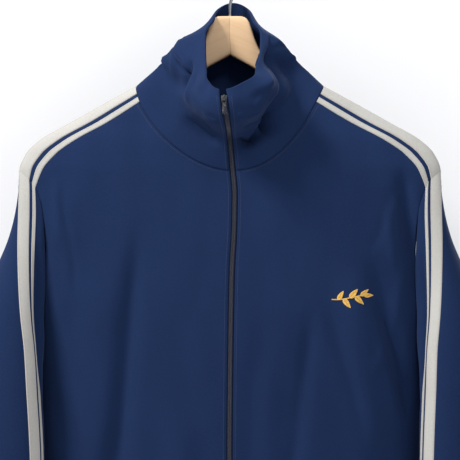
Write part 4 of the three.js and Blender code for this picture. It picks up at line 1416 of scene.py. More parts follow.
class Repeats:
    """The geometry trees: stitches along paths, coils of a zip, satin threads and ribs of a knit."""

    def __init__(self) -> None:
        """Builds the trees."""
        self.stitches = self.build_stitches()
        self.coils = self.build_coils()
        self.satin = self.build_satin()
        self.ribs = self.build_ribs()

    @staticmethod
    def begin(name: str, sizes: dict[str, float]) -> Group:
        """Starts a tree that is given a mesh, some sizes and a material.

        Args:
            name: the tree's name.
            sizes: the sizes' names and usual values.
        Returns:
            The tree, its graph, what it is given, and its output node.
        """
        inputs = (("Geometry", GEOMETRY, None), *((label, FLOAT, size) for label, size in sizes.items()),
                  ("Material", MATERIAL, None))
        return new_group(name, "GeometryNodeTree", inputs, (("Geometry", GEOMETRY),))

    @staticmethod
    def finish(g: Graph, given: Sequence[Socket], end: bpy.types.Node, geometry: Socket) -> None:
        """Ends a tree with real geometry, smooth shading and its material.

        Args:
            g: the tree's graph.
            given: what the tree is given.
            end: its output node.
            geometry: what it has made.
        """
        real = g.out("GeometryNodeRealizeInstances", {"Geometry": geometry})
        smooth = g.out("GeometryNodeSetShadeSmooth", {"Geometry": real})
        dressed = g.out("GeometryNodeSetMaterial", {"Geometry": smooth, "Material": given["Material"]})
        g.fill(end, {"Geometry": dressed})

    @staticmethod
    def frame_on(g: Graph, along: Socket) -> Socket:
        """The turn that stands a bead on the cloth.

        Args:
            g: the tree's graph.
            along: the direction that the bead's X takes, with its Z out of the cloth.
        Returns:
            The turn.
        """
        upright = g.out("FunctionNodeAlignRotationToVector", {"Vector": g.carried("out")}, axis="Z")
        return g.out("FunctionNodeAlignRotationToVector", {"Rotation": upright, "Vector": along}, axis="X",
                     pivot_axis="Z")

    @staticmethod
    def bead(g: Graph, size: Sequence[object], sides: int, rings: int) -> Socket:
        """A rounded bead.

        Args:
            g: the tree's graph.
            size: its length, width and height.
            sides: how many sides it has.
            rings: how many rings along it.
        Returns:
            The bead's mesh.
        """
        ball = g.out("GeometryNodeMeshUVSphere", {"Segments": sides, "Rings": rings, "Radius": 0.5})
        turned = g.out("GeometryNodeTransform", {"Geometry": ball, "Rotation": (0.0, math.pi / 2, 0.0)})
        scale = g.out("ShaderNodeCombineXYZ", dict(enumerate(size)))
        return g.out("GeometryNodeTransform", {"Geometry": turned, "Scale": scale})

    @staticmethod
    def dots(g: Graph, line: Socket, step: Socket) -> Socket:
        """Points on a line of edges, a step apart."""
        curve = g.out("GeometryNodeMeshToCurve", {"Mesh": line})
        return g.out("GeometryNodeResampleCurve", {"Curve": curve, "Length": step}, mode="LENGTH")

    def build_stitches(self) -> bpy.types.NodeTree:
        """Running stitches along paths, each a small bead sunk at its ends.

        Returns:
            The node group.
        """
        tree, g, given, end = self.begin("running_stitches", {
            "Stitch": 0.003, "Gap": 0.0006, "Thickness": 0.0006,
        })
        dots = self.dots(g, given["Geometry"], given["Stitch"])
        length = g.math("SUBTRACT", given["Stitch"], given["Gap"])
        low = g.math("MULTIPLY", given["Thickness"], 0.8)
        tangent = g.out("GeometryNodeInputTangent")
        placed = g.out("GeometryNodeInstanceOnPoints", {
            "Points": dots, "Instance": self.bead(g, (length, given["Thickness"], low), 6, 5),
            "Rotation": self.frame_on(g, tangent),
        })
        self.finish(g, given, end, placed)
        return tree

    def build_coils(self) -> bpy.types.NodeTree:
        """Two rows of coils that lock in turn along a path.

        Returns:
            The node group.
        """
        tree, g, given, end = self.begin("zip_coils", {
            "Pitch": 0.0015, "Reach": 0.0034, "Offset": 0.0012, "Height": 0.0011,
        })
        dots = self.dots(g, given["Geometry"], g.math("MULTIPLY", given["Pitch"], 0.5))
        thick = g.math("MULTIPLY", given["Pitch"], 0.62)
        number = g.out("GeometryNodeInputIndex")
        odd = g.math("MULTIPLY", g.math("SUBTRACT", g.math("MODULO", number, 2.0), 0.5), 2.0)
        aside = g.out("ShaderNodeCombineXYZ", {1: g.math("MULTIPLY", odd, given["Offset"])})
        turn = self.frame_on(g, g.out("GeometryNodeInputTangent"))
        move = g.out("FunctionNodeRotateVector", {"Vector": aside, "Rotation": turn})
        spread = g.out("GeometryNodeSetPosition", {"Geometry": dots, "Offset": move})
        placed = g.out("GeometryNodeInstanceOnPoints", {
            "Points": spread, "Instance": self.bead(g, (thick, given["Reach"], given["Height"]), 8, 6),
            "Rotation": self.frame_on(g, g.carried("along")),
        })
        self.finish(g, given, end, placed)
        return tree

    def build_satin(self) -> bpy.types.NodeTree:
        """Satin stitches: one thread over each point, of its own length and direction.

        Returns:
            The node group.
        """
        tree, g, given, end = self.begin("satin_threads", {"Thickness": 0.0004})
        size = g.out("ShaderNodeCombineXYZ", {0: g.carried("length", "FLOAT"), 1: 1.0, 2: 1.0})
        placed = g.out("GeometryNodeInstanceOnPoints", {
            "Points": given["Geometry"], "Scale": size, "Rotation": self.frame_on(g, g.carried("along")),
            "Instance": self.bead(g, (1.0, given["Thickness"], given["Thickness"]), 6, 5),
        })
        self.finish(g, given, end, placed)
        return tree

    def build_ribs(self) -> bpy.types.NodeTree:
        """Raises the ribs of a knitted band out of its plain wall.

        Returns:
            The node group.
        """
        tree, g, given, end = self.begin("knitted_ribs", {"Pitch": 2.4, "Depth": 0.0006})
        place, lift = g.carried("rib", "FLOAT"), g.carried("lift", "FLOAT")
        wave = g.math("SINE", g.math("MULTIPLY", g.math("DIVIDE", place, given["Pitch"]), math.pi))
        rounded = g.math("SUBTRACT", g.math("POWER", g.math("ABSOLUTE", wave), 0.7), 1.0)
        size = g.math("MULTIPLY", g.math("MULTIPLY", rounded, lift), given["Depth"])
        move = g.out("ShaderNodeVectorMath", {0: g.carried("out"), "Scale": size}, operation="SCALE")
        moved = g.out("GeometryNodeSetPosition", {"Geometry": given["Geometry"], "Offset": move})
        self.finish(g, given, end, moved)
        return tree

    @staticmethod
    def apply(piece: bpy.types.Object, tree: bpy.types.NodeTree, material: bpy.types.Material,
              sizes: dict[str, float]) -> bpy.types.Object:
        """Runs a tree on a piece and keeps the result as the piece's plain mesh.

        Args:
            piece: the object that the tree starts from.
            tree: the geometry tree.
            material: what the result is dressed in.
            sizes: the tree's sizes by name.
        Returns:
            The piece.
        """
        modifier = piece.modifiers.new(tree.name, "NODES")
        modifier.node_group = tree
        values = {"Material": material, **sizes}
        for item in tree.interface.items_tree:
            if item.item_type == "SOCKET" and item.in_out == "INPUT" and item.name in values:
                modifier[item.identifier] = values[item.name]
        return keep_result(piece)


@dataclass
class Path:
    """A line on the cloth: its points, and the way out of the cloth at each, in millimetres."""

    points: Array
    out: Array


def path_on(surface: Surface, a: Array, b: Array, steps: tuple[float, float], lift: float) -> Path:
    """Lays a line on a surface, lifted off it.

    Args:
        surface: gives points for two parameters.
        a: the first parameter along the line.
        b: the second parameter along the line.
        steps: small steps of both for the normals.
        lift: how far off the surface the line lies.
    Returns:
        The path.
    """
    out = normals_on(surface, a, b, steps)
    return Path(surface(a, b) + out * lift, out)


def add_paths(name: str, paths: Sequence[Path]) -> bpy.types.Object:
    """Makes an object of bare lines that carry the way out of the cloth and the way along themselves.

    Args:
        name: the object's name.
        paths: the lines.
    Returns:
        The object.
    """
    edges, first = [], 0
    for path in paths:
        count = len(path.points)
        edges += [(first + i, first + i + 1) for i in range(count - 1)]
        first += count
    mesh = bpy.data.meshes.new(name)
    mesh.from_pydata((np.concatenate([path.points for path in paths]) * MM).tolist(), edges, [])
    mark_points(mesh, out=np.concatenate([path.out for path in paths]),
                along=np.concatenate([np.gradient(path.points, axis=0) for path in paths]))
    return new_object(name, mesh)


# The pieces


@dataclass(frozen=True)
class Tape:
    """One of the pale tapes: its name, and how far its edges are from the shoulder's ridge."""

    label: str
    start: float
    end: float

    @property
    def columns(self) -> Array:
        """The distances of its columns of points from the ridge."""
        width = self.end - self.start
        return self.start + width * spaced(width, 2.2, (0.4, 0.9, 1.6, 2.4))


@dataclass
class Workshop:
    """What every sub-assembly needs: the solids, the forms, the finishes, the trees and the cloth's sizes."""

    nodes: dict[str, bpy.types.Object]
    body: BodyForm
    sleeve: SleeveForm
    collar: CollarForm
    zip_path: ZipPath
    finishes: Finishes
    repeats: Repeats
    knit_thickness: float = 1.6
    rib_thickness: float = 2.2
    tapes: tuple[Tape, ...] = (Tape("broad", 0.0, 16.0), Tape("narrow", 20.5, 27.5))
    tape_lift: float = 0.12
    tape_overlap: float = 0.2
    tape_thickness: float = 0.6
    least_flat_side: float = 0.01

    @property
    def skin(self) -> float:
        """How far the outer skin of the knit is from the middle of the cloth."""
        return self.knit_thickness / 2

    @property
    def tape_top(self) -> float:
        """How far the outer skin of a tape is from the middle of the cloth under it."""
        return self.skin + self.tape_lift + self.tape_thickness

    @staticmethod
    def settle(piece: bpy.types.Object, slot: str, *nodes: str, body: Body = Body.JACKET) -> None:
        """Lets a piece ride on its body and stand for its nodes.

        Args:
            piece: the piece.
            slot: its material slot; not used.
            nodes: the nodes that it replaces.
            body: the body that it rides on.
        """
        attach(piece, body.value)
        if nodes:
            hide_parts(*nodes)
        faces = sum(len(p.vertices) - 2 for p in piece.data.polygons)
        LOG.info("%s: %d triangles", piece.name, faces)

    def settle_cloth(self, piece: bpy.types.Object, slot: str, node: str, sheet: Sheet,
                     *rests_on: str) -> None:
        """Settles a piece of cloth.

        Args:
            piece: the piece.
            slot: its material slot, passed on to settle and not used there.
            node: the node that it replaces.
            sheet: the grid that it was made on; not used.
            rests_on: the pieces that it hangs from; not used.
        """
        self.settle(piece, slot, node)

    def add_knit(self, node: str, sheet: Sheet, *rests_on: str) -> None:
        """Makes a knitted panel.

        Args:
            node: the node that it replaces.
            sheet: its grid.
            rests_on: the pieces that it hangs from.
        """
        piece = add_object(f"knit_{node}", wall_on(sheet, -self.skin, self.skin), self.finishes.knit)
        self.settle_cloth(piece, "navy_knit", node, sheet, *rests_on)

    def add_tape(self, node: str, sheet: Sheet, rests_on: str) -> None:
        """Makes a pale tape, just off the cloth that it is sewn to.

        Args:
            node: the node that it replaces.
            sheet: its grid, in the middle of the cloth.
            rests_on: the piece that it is sewn to.
        """
        inner = self.skin + self.tape_lift - self.tape_overlap
        piece = add_object(f"pale_{node}", wall_on(sheet, inner, self.tape_top, 0.9, 0.8), self.finishes.tape)
        self.settle_cloth(piece, "pale_tape", node, sheet, rests_on)

    def add_band(self, node: str, sheet: Sheet, distances: Array, rib: tuple[float, float],
                 *rests_on: str) -> None:
        """Makes a ribbed band: a plain wall, then its ribs.

        Args:
            node: the node that it replaces.
            sheet: its grid.
            distances: the place of each column round the band.
            rib: the pitch and the depth of the ribs.
            rests_on: the pieces that it hangs from.
        """
        shell = wall_on(sheet, -self.rib_thickness / 2, self.rib_thickness / 2, 3.0, 0.5)
        piece = add_object(f"rib_{node}", shell, self.finishes.rib)
        mark_points(piece.data, rib=np.tile(distances, 2 * sheet.points.shape[0]),
                    lift=shell.is_outer * smoothstep(shell.edge, 0.2, 3.5),
                    out=np.concatenate([sheet.normals.reshape(-1, 3)] * 2))
        pitch, depth = rib
        self.repeats.apply(piece, self.repeats.ribs, self.finishes.rib, {"Pitch": pitch, "Depth": depth * MM})
        self.settle_cloth(piece, "navy_rib", node, sheet, *rests_on)


@dataclass
class Panels:
    """The fronts and the back, and the pale tapes on the shoulders."""

    shop: Workshop
    seam_inset: float = 0.12
    grid: float = 2.7
    armhole_share: float = 0.62
    back_narrowing: float = 0.31
    front_width: float = 205.0
    shoulder_width: float = 150.0
    back_depth: float = 190.0

    def __post_init__(self) -> None:
        """Measures the neck seam from the shoulder line to the zip."""
        body, zip_path = self.shop.body, self.shop.zip_path
        end = float(zip_path.around_beside(zip_path.gap_half, 0.0))
        self.neck = Measured(lambda around: body.point(*body.neck_seam(around)), 90.0, end)

    def front_rows(self, necks: Array) -> tuple[Array, Array, Array, Array]:
        """The rows that start at the neck seam.

        Args:
            necks: the distances of their starts from the shoulder line.
        Returns:
            The turns and heights of their starts, and of their ends.
        """
        body = self.shop.body
        around = self.neck.at(necks)
        turn, height = body.neck_seam(around)
        height = height - self.seam_inset * np.cos(np.radians(around))
        last = self.shop.tapes[-1].end
        share = np.maximum((necks - last) / (self.neck.total - last), 0.0)
        reached = self.armhole_share * body.armhole_length.total
        armhole = lerp(np.minimum(necks, last), reached, share)
        return turn, height, *body.armhole_seam(body.armhole_length.at(armhole))

    def skirt(self) -> Array:
        """The heights of the rows from under the arms to the band.

        Returns:
            The heights, from the top down.
        """
        body = self.shop.body
        rest = body.underarm - body.hem_seam
        return body.underarm - rest * spaced(rest, self.grid)[4:]

    def front_grid(self) -> tuple[Array, Array, Array, Array]:
        """All the rows of a front.

        Returns:
            The turns and heights of their starts, and of their ends.
        """
        body, gap = self.shop.body, self.shop.zip_path.gap_half
        necks = self.neck.total * spaced(self.neck.total, self.grid)
        turn, height, end_turn, end_height = self.front_rows(necks)
        neck_front = body.neck_height - body.neck_front_drop
        share = np.linspace(0, 1, int((neck_front - body.underarm) / self.grid))[1:]
        low, skirt = lerp(neck_front, body.underarm, share), self.skirt()
        total = body.armhole_length.total
        low_end = body.armhole_seam(body.armhole_length.at(lerp(self.armhole_share * total, total, share)))
        parts = ((turn, body.turn_beside_zip(gap, low), body.turn_beside_zip(gap, skirt)),
                 (height, low, skirt),
                 (end_turn, low_end[0], np.full_like(skirt, 90.0)),
                 (end_height, low_end[1], skirt))
        return tuple(np.concatenate(part) for part in parts)

    def front_sheet(self, side: Side, rows: tuple[Array, Array, Array, Array], shares: Array,
                    sewn: Sequence[Edges] = tuple(Edges)) -> Sheet:
        """A sheet of a front.

        Args:
            side: the front's side.
            rows: the turns and heights of the rows' starts, and of their ends.
            shares: where its columns are on the rows.
            sewn: its sewn edges.
        Returns:
            The sheet.
        """
        body = self.shop.body
        start, start_height, end, end_height = (value[:, None] for value in rows)
        turn = side.value * lerp(start, end, shares[None, :])
        height = lerp(start_height, end_height, shares[None, :])
        return sheet_on(body.point, turn, height, body.flat(turn, height), body.steps, sewn)

    def back_sheet(self) -> Sheet:
        """The back, from shoulder to shoulder and down to the band.

        Returns:
            Its sheet, mirrored from one half.
        """
        body = self.shop.body
        near = np.array((0.0, 1.0, 2.0, 3.2, 4.8)) / self.back_depth
        down = np.concatenate([near, np.linspace(6.8 / self.back_depth, 1.0, 66)])
        around = 360.0 - body.armhole_length.at(body.armhole_length.total * down)
        end_turn, end_height = body.armhole_seam(around)
        around = np.concatenate([np.linspace(180.0, 92.0, 34), [90.0]])
        neck_turn, neck_height = body.neck_seam(around)
        shares = spaced(self.shoulder_width, self.grid)[4:]
        half = []
        for share, last_turn, last_height in zip(down, end_turn, end_height):
            turn = 180.0 - (180.0 - neck_turn) * lerp(1.0, self.back_narrowing, share)
            height = lerp(neck_height, body.underarm, share)
            half.append((np.concatenate([turn, lerp(turn[-1], last_turn, shares)]),
                         np.concatenate([height, lerp(height[-1], last_height, shares)])))
        turn = 180.0 - (180.0 - neck_turn) * self.back_narrowing
        turns = np.concatenate([turn, lerp(turn[-1], 90.0, shares)])
        half += [(turns, np.full_like(turns, height)) for height in self.skirt()]
        turns, heights = (np.array([row[k] for row in half]) for k in (0, 1))
        turns = np.concatenate([-turns[:, :0:-1], turns], 1)
        heights = np.concatenate([heights[:, :0:-1], heights], 1)
        return sheet_on(body.point, turns, heights, body.flat(turns, heights), body.steps)

    def build(self) -> None:
        """Makes the panels and their tapes."""
        for side in Side:
            sheet = self.front_sheet(side, self.front_grid(), spaced(self.front_width, self.grid))
            self.shop.add_knit(f"front_{side.label}", sheet, "hanger")
            for tape in self.shop.tapes:
                rows, shares = self.front_rows(tape.columns), spaced(self.shoulder_width, 2.6)
                sheet = self.front_sheet(side, rows, shares, (Edges.FIRST, Edges.LAST))
                self.shop.add_tape(f"shoulder_tape_{tape.label}_{side.label}", sheet,
                                   f"knit_front_{side.label}")
        self.shop.add_knit("back", self.back_sheet(), "hanger")


@dataclass
class Sleeves:
    """The sleeves, the pale tapes down them and their rib cuffs."""

    shop: Workshop
    grid: float = 2.9
    length: float = 545.0
    rib_pitch: float = 2.5
    rib_depth: float = 0.55
    cuff_heights: tuple[float, ...] = (
        -784.1, -785.2, -786.6, -788.6, -792, -797, -805, -814, -823, -832, -840, -844.5, -846.5, -847.6,
    )
    cuff_middle: float = -820.0

    def surface(self, side: Side) -> Surface:
        """The cloth of one sleeve."""
        return partial(self.shop.sleeve.point, side)

    @staticmethod
    def steps(side: Side) -> tuple[float, float]:
        """Small steps round and down a sleeve, for normals that point out."""
        return side.value * 0.8, 0.002

    def ring(self, side: Side, height: float) -> Measured:
        """The ring of a sleeve at one height, measured."""
        sleeve = self.shop.sleeve
        return Measured(lambda around: sleeve.tube(side, around, np.full_like(around, height)), 0.0, 360.0)

    def tape_around(self, side: Side, down: Array, distances: Array) -> Array:
        """The angles at distances from the shoulder line, on rings down the sleeve.

        Args:
            side: the sleeve's side.
            down: where the rings are, from 0 to 1.
            distances: the distances.
        Returns:
            The angles, a row for each ring.
        """
        around, places = np.linspace(0.0, 120.0, 121), np.linspace(0.0, 1.0, 101) ** 1.2
        rings = self.shop.sleeve.point(side, around[None, :], places[:, None])
        lengths = np.cumsum(np.linalg.norm(np.diff(rings, axis=1), axis=-1), 1)
        lengths = np.concatenate([np.zeros((len(places), 1)), lengths], 1)
        angles = np.array([np.interp(distances, row, around) for row in lengths])
        return np.stack([np.interp(down, places, column) for column in angles.T], -1)

    def build(self) -> None:
        """Makes both sleeves with their tapes and cuffs."""
        down = spaced(552.0, self.grid, (1.2, 2.2, 3.4, 4.8))[:, None]
        for side in Side:
            self.build_sleeve(side, down)
            for tape in self.shop.tapes:
                self.build_tape(side, tape, down)
            self.build_cuff(side)

    def build_sleeve(self, side: Side, down: Array) -> None:
        """Makes one sleeve.

        Args:
            side: its side.
            down: the places of its rows.
        """
        around = np.linspace(0.0, 360.0, 109)[None, :]
        across = self.ring(Side.LEFT, -546.0).length_at(around)
        flat = np.stack(np.broadcast_arrays(across, -self.length * down), -1)
        sheet = sheet_on(self.surface(side), around[:, :-1], down, flat, self.steps(side),
                         (Edges.FIRST, Edges.LAST), closed=True)
        self.shop.add_knit(f"sleeve_{side.label}", sheet, f"knit_front_{side.label}", "knit_back")

    def build_tape(self, side: Side, tape: Tape, down: Array) -> None:
        """Lays a tape down a sleeve.

        Args:
            side: the sleeve's side.
            tape: which tape it is.
            down: the places of the sleeve's rows.
        """
        around = self.tape_around(side, down[:, 0], tape.columns)
        places = np.broadcast_to(down, around.shape)
        flat = np.stack([np.broadcast_to(tape.columns, around.shape), -self.length * places], -1)
        sheet = sheet_on(self.surface(side), around, places, flat, self.steps(side), (Edges.START, Edges.END))
        self.shop.add_tape(f"sleeve_tape_{tape.label}_{side.label}", sheet, f"knit_sleeve_{side.label}")

    def build_cuff(self, side: Side) -> None:
        """Makes a rib cuff on one side.

        Args:
            side: the side of the cuff.
        """
        ring = self.ring(side, self.cuff_middle)
        ribs = round(ring.total / self.rib_pitch)
        distances = np.linspace(0.0, ring.total, ribs * 6 + 1)
        heights = np.array(self.cuff_heights)[:, None]
        flat = np.stack(np.broadcast_arrays(distances[None, :], heights), -1)
        sheet = sheet_on(partial(self.shop.sleeve.tube, side), ring.at(distances)[None, :-1], heights, flat,
                         (side.value * -0.8, 0.5), (Edges.FIRST, Edges.LAST), closed=True)
        self.shop.add_band(f"cuff_{side.label}", sheet, distances[:-1], (ring.total / ribs, self.rib_depth),
                           f"knit_sleeve_{side.label}")


@dataclass
class Collar:
    """The stand collar."""

    shop: Workshop
    thickness: float = 2.4
    grid: float = 2.0
    trim_reach: float = 40.0
    steps: tuple[float, float] = (0.5, 0.004)

    def build(self) -> None:
        """Makes the collar."""
        form, zip_path = self.shop.collar, self.shop.zip_path
        up = spaced(126.0, self.grid, (1.0, 1.9, 3.0, 4.2))
        edge = float(zip_path.around_beside(zip_path.gap_half, 0.0))
        near = edge + np.array((0.0, 0.6, 1.2, 2.0, 3.2))
        half = np.concatenate([near, np.linspace(near[-1] + 1.6, 180.0, 118)])
        around = np.concatenate([half, 360.0 - half[-2::-1]])
        signed = np.where(around > 180.0, around - 360.0, around)
        extra = zip_path.around_beside(zip_path.gap_half, up) - edge
        trim = np.clip((self.trim_reach - np.abs(signed)) / (self.trim_reach - edge), 0.0, 1.0)
        a = signed[None, :] + np.sign(signed)[None, :] * trim[None, :] * extra[:, None]
        b = np.broadcast_to(up[:, None], a.shape)
        a, b = a[:, ::-1], b[:, ::-1]
        middle = Measured(lambda angle: form.point(angle, np.full_like(angle, 0.5)), 0.0, 180.0)
        flat = np.stack([np.sign(a) * middle.length_at(np.abs(a)), form.height * b], -1)
        sheet = sheet_on(form.point, a, b, flat, self.steps)
        shell = wall_on(sheet, -self.thickness / 2, self.thickness / 2, 1.8, 0.4)
        piece = add_object("knit_collar", shell, self.shop.finishes.knit)
        self.shop.settle_cloth(piece, "navy_knit", "collar", sheet, "knit_front_left", "knit_front_right",
                               "knit_back")


@dataclass
class HemBand:
    """The rib band at the hem, open at the zip."""

    shop: Workshop
    rib_pitch: float = 2.6
    rib_depth: float = 0.6
    middle: float = -764.0
    heights: tuple[float, ...] = (
        -736.1, -737.2, -738.8, -741, -745, -751, -759, -767, -775, -783, -788, -790.4, -791.6,
    )

    def build(self) -> None:
        """Makes the band."""
        body = self.shop.body
        gap = float(body.turn_beside_zip(self.shop.zip_path.gap_half, body.hem))
        line = Measured(lambda turn: body.point(turn, np.full_like(turn, self.middle)), gap, 360.0 - gap,
                        1600)
        ribs = round(line.total / self.rib_pitch)
        distances = np.linspace(0.0, line.total, ribs * 5 + 1)
        turn = line.at(distances)[::-1]
        turn = np.where(turn > 180.0, turn - 360.0, turn)[None, :]
        heights = np.array(self.heights)[:, None]
        flat = np.stack(np.broadcast_arrays(distances[None, :], heights), -1)
        sheet = sheet_on(body.point, *np.broadcast_arrays(turn, heights), flat, body.steps)
        self.shop.add_band("hem_band", sheet, distances, (line.total / ribs, self.rib_depth),
                           "knit_front_left", "knit_front_right", "knit_back")


@dataclass
class Zip:
    """The zip: its woven tape, two rows of coils, the slider and the pull tab."""

    shop: Workshop
    tape_half: float = 13.0
    tape_thickness: float = 0.7
    tape_outer: float = -1.8
    length: float = 690.0
    coil_lift: float = -0.75
    pitch: float = 1.5
    reach: float = 2.9
    offset: float = 1.05
    height: float = 1.3
    top_share: float = 0.985
    edge_rounding: float = 0.22

    def shares(self, start: float, end: float, counts: tuple[int, int]) -> Array:
        """Places along the zip.

        Args:
            start: the first.
            end: the last.
            counts: how many there are on the body and on the collar.
        Returns:
            The places, from 0 at the hem to 1 at the top.
        """
        turn = self.shop.zip_path.body_share
        return np.concatenate([np.linspace(start, turn, counts[0]), np.linspace(turn, end, counts[1])[1:]])

    def build(self) -> None:
        """Makes the zip's pieces."""
        shop, path = self.shop, self.shop.zip_path
        shares = self.shares(0.002, 0.99, (150, 70))[:, None]
        across = self.tape_half * np.linspace(-1, 1, 17)[None, :]
        flat = np.stack(np.broadcast_arrays(across, self.length * shares), -1)
        sheet = sheet_on(path.point, across, shares, flat, path.steps, ())
        shell = wall_on(sheet, self.tape_outer - self.tape_thickness, self.tape_outer)
        piece = add_object("woven_zip_tape", shell, shop.finishes.zip_cloth)
        shop.settle_cloth(piece, "zip_cloth", "zip_tape", sheet, "knit_front_left", "knit_front_right")
        line = self.shares(0.004, self.top_share, (700, 260))
        run = path_on(path.point, np.zeros_like(line), line, path.steps, self.coil_lift)
        coils = add_paths("zip_coils", [run])
        shop.repeats.apply(coils, shop.repeats.coils, shop.finishes.coil, {
            "Pitch": self.pitch * MM, "Reach": self.reach * MM, "Offset": self.offset * MM,
            "Height": self.height * MM,
        })
        shop.settle(coils, "zip_chain", "zip_chain")
        self.build_metal("zip_slider", Body.JACKET)
        self.build_metal("pull_tab", Body.TAB)

    def build_metal(self, node: str, body: Body) -> None:
        """Rounds the edges of a small metal part.

        Args:
            node: the node that it stands for and gets its shape from.
            body: the body that it rides on.
        """
        piece = new_object(f"cast_{node}", self.shop.nodes[node].data.copy())
        piece.modifiers.new("weld", "WELD").merge_threshold = 1e-5
        bevel = piece.modifiers.new("bevel", "BEVEL")
        bevel.width = self.edge_rounding * MM
        bevel.segments = 3
        bevel.limit_method = "ANGLE"
        bevel.angle_limit = math.radians(30.0)
        mesh = keep_result(piece).data
        mesh.materials.clear()
        mesh.materials.append(self.shop.finishes.enamel)
        mesh.shade_smooth()
        mesh.set_sharp_from_angle(angle=math.radians(40.0))
        self.shop.settle(piece, "zip_metal", node, body=body)


@dataclass
class Sewing:
    """The lines of stitches: beside the zip, along the tapes and at the seams."""

    shop: Workshop
    panels: Panels
    sleeves: Sleeves
    stitch: float = 3.0
    gap: float = 0.5
    thread: float = 0.5
    sunk: float = 0.06
    from_zip: float = 6.6
    from_seam: float = 2.6
    from_tape_edge: float = 1.3

    def build(self) -> None:
        """Makes the rows of stitches, a piece for each kind of thread and place."""
        finishes = self.shop.finishes
        self.add("stitches_zip", self.beside_zip(), finishes.thread, "navy_knit")
        self.add("stitches_seams", self.at_seams(), finishes.thread, "navy_knit")
        self.add("stitches_tapes", self.on_tapes(), finishes.pale_thread, "pale_tape")

    def add(self, name: str, paths: Sequence[Path], material: bpy.types.Material, slot: str) -> None:
        """Sews along some paths.

        Args:
            name: the piece's name.
            paths: the paths.
            material: the thread's finish.
            slot: its material slot.
        """
        piece = add_paths(name, paths)
        self.shop.repeats.apply(piece, self.shop.repeats.stitches, material, {
            "Stitch": self.stitch * MM, "Gap": self.gap * MM, "Thickness": self.thread * MM,
        })
        self.shop.settle(piece, slot)

    def beside_zip(self) -> list[Path]:
        """A row on each front and each side of the collar.

        Returns:
            The rows.
        """
        path = self.shop.zip_path
        parts = ((0.004, path.body_share - 0.003, self.shop.skin), (path.body_share + 0.004, 0.985, 1.2))
        rows = []
        for side in Side:
            for low, high, lift in parts:
                share = np.linspace(low, high, 500)
                across = np.full_like(share, side.value * self.from_zip)
                rows.append(path_on(path.point, across, share, path.steps, lift))
        return rows

    def at_seams(self) -> list[Path]:
        """A row under the neck seam, and one above the hem band.

        Returns:
            The rows.
        """
        body = self.shop.body
        neck_turn, neck_height = body.neck_seam(np.linspace(7.0, 353.0, 700))
        gap = float(body.turn_beside_zip(self.shop.zip_path.gap_half + 2.0, body.hem_seam))
        hem_turn = np.linspace(gap, 360.0 - gap, 900)
        hem_turn = np.where(hem_turn > 180.0, hem_turn - 360.0, hem_turn)
        lines = ((neck_turn, neck_height - self.from_seam),
                 (hem_turn, np.full_like(hem_turn, body.hem_seam + self.from_seam)))
        return [path_on(body.point, turn, height, body.steps, self.shop.skin) for turn, height in lines]

    def on_tapes(self) -> list[Path]:
        """Rows along both edges of every tape.

        Returns:
            The rows.
        """
        rows = []
        for side in Side:
            for tape in self.shop.tapes:
                for place in (tape.start + self.from_tape_edge, tape.end - self.from_tape_edge):
                    rows += [self.on_shoulder(side, place), self.on_sleeve(side, place)]
        return rows

    def on_shoulder(self, side: Side, distance: float) -> Path:
        """A row along the shoulder.

        Args:
            side: the shoulder's side.
            distance: how far the row is from its ridge.
        Returns:
            The row.
        """
        body, ends = self.shop.body, self.panels.front_rows(np.array([distance]))
        share = np.linspace(0.01, 0.99, 160)
        turn, height = side.value * lerp(ends[0], ends[2], share), lerp(ends[1], ends[3], share)
        return path_on(body.point, turn, height, body.steps, self.shop.tape_top - self.sunk)

    def on_sleeve(self, side: Side, distance: float) -> Path:
        """A row down a sleeve.

        Args:
            side: the sleeve's side.
            distance: how far the row is from the shoulder line.
        Returns:
            The row.
        """
        down = np.linspace(0.006, 0.995, 400)
        around = self.sleeves.tape_around(side, down, np.array([distance]))[:, 0]
        surface, steps = self.sleeves.surface(side), self.sleeves.steps(side)
        return path_on(surface, around, down, steps, self.shop.tape_top - self.sunk)


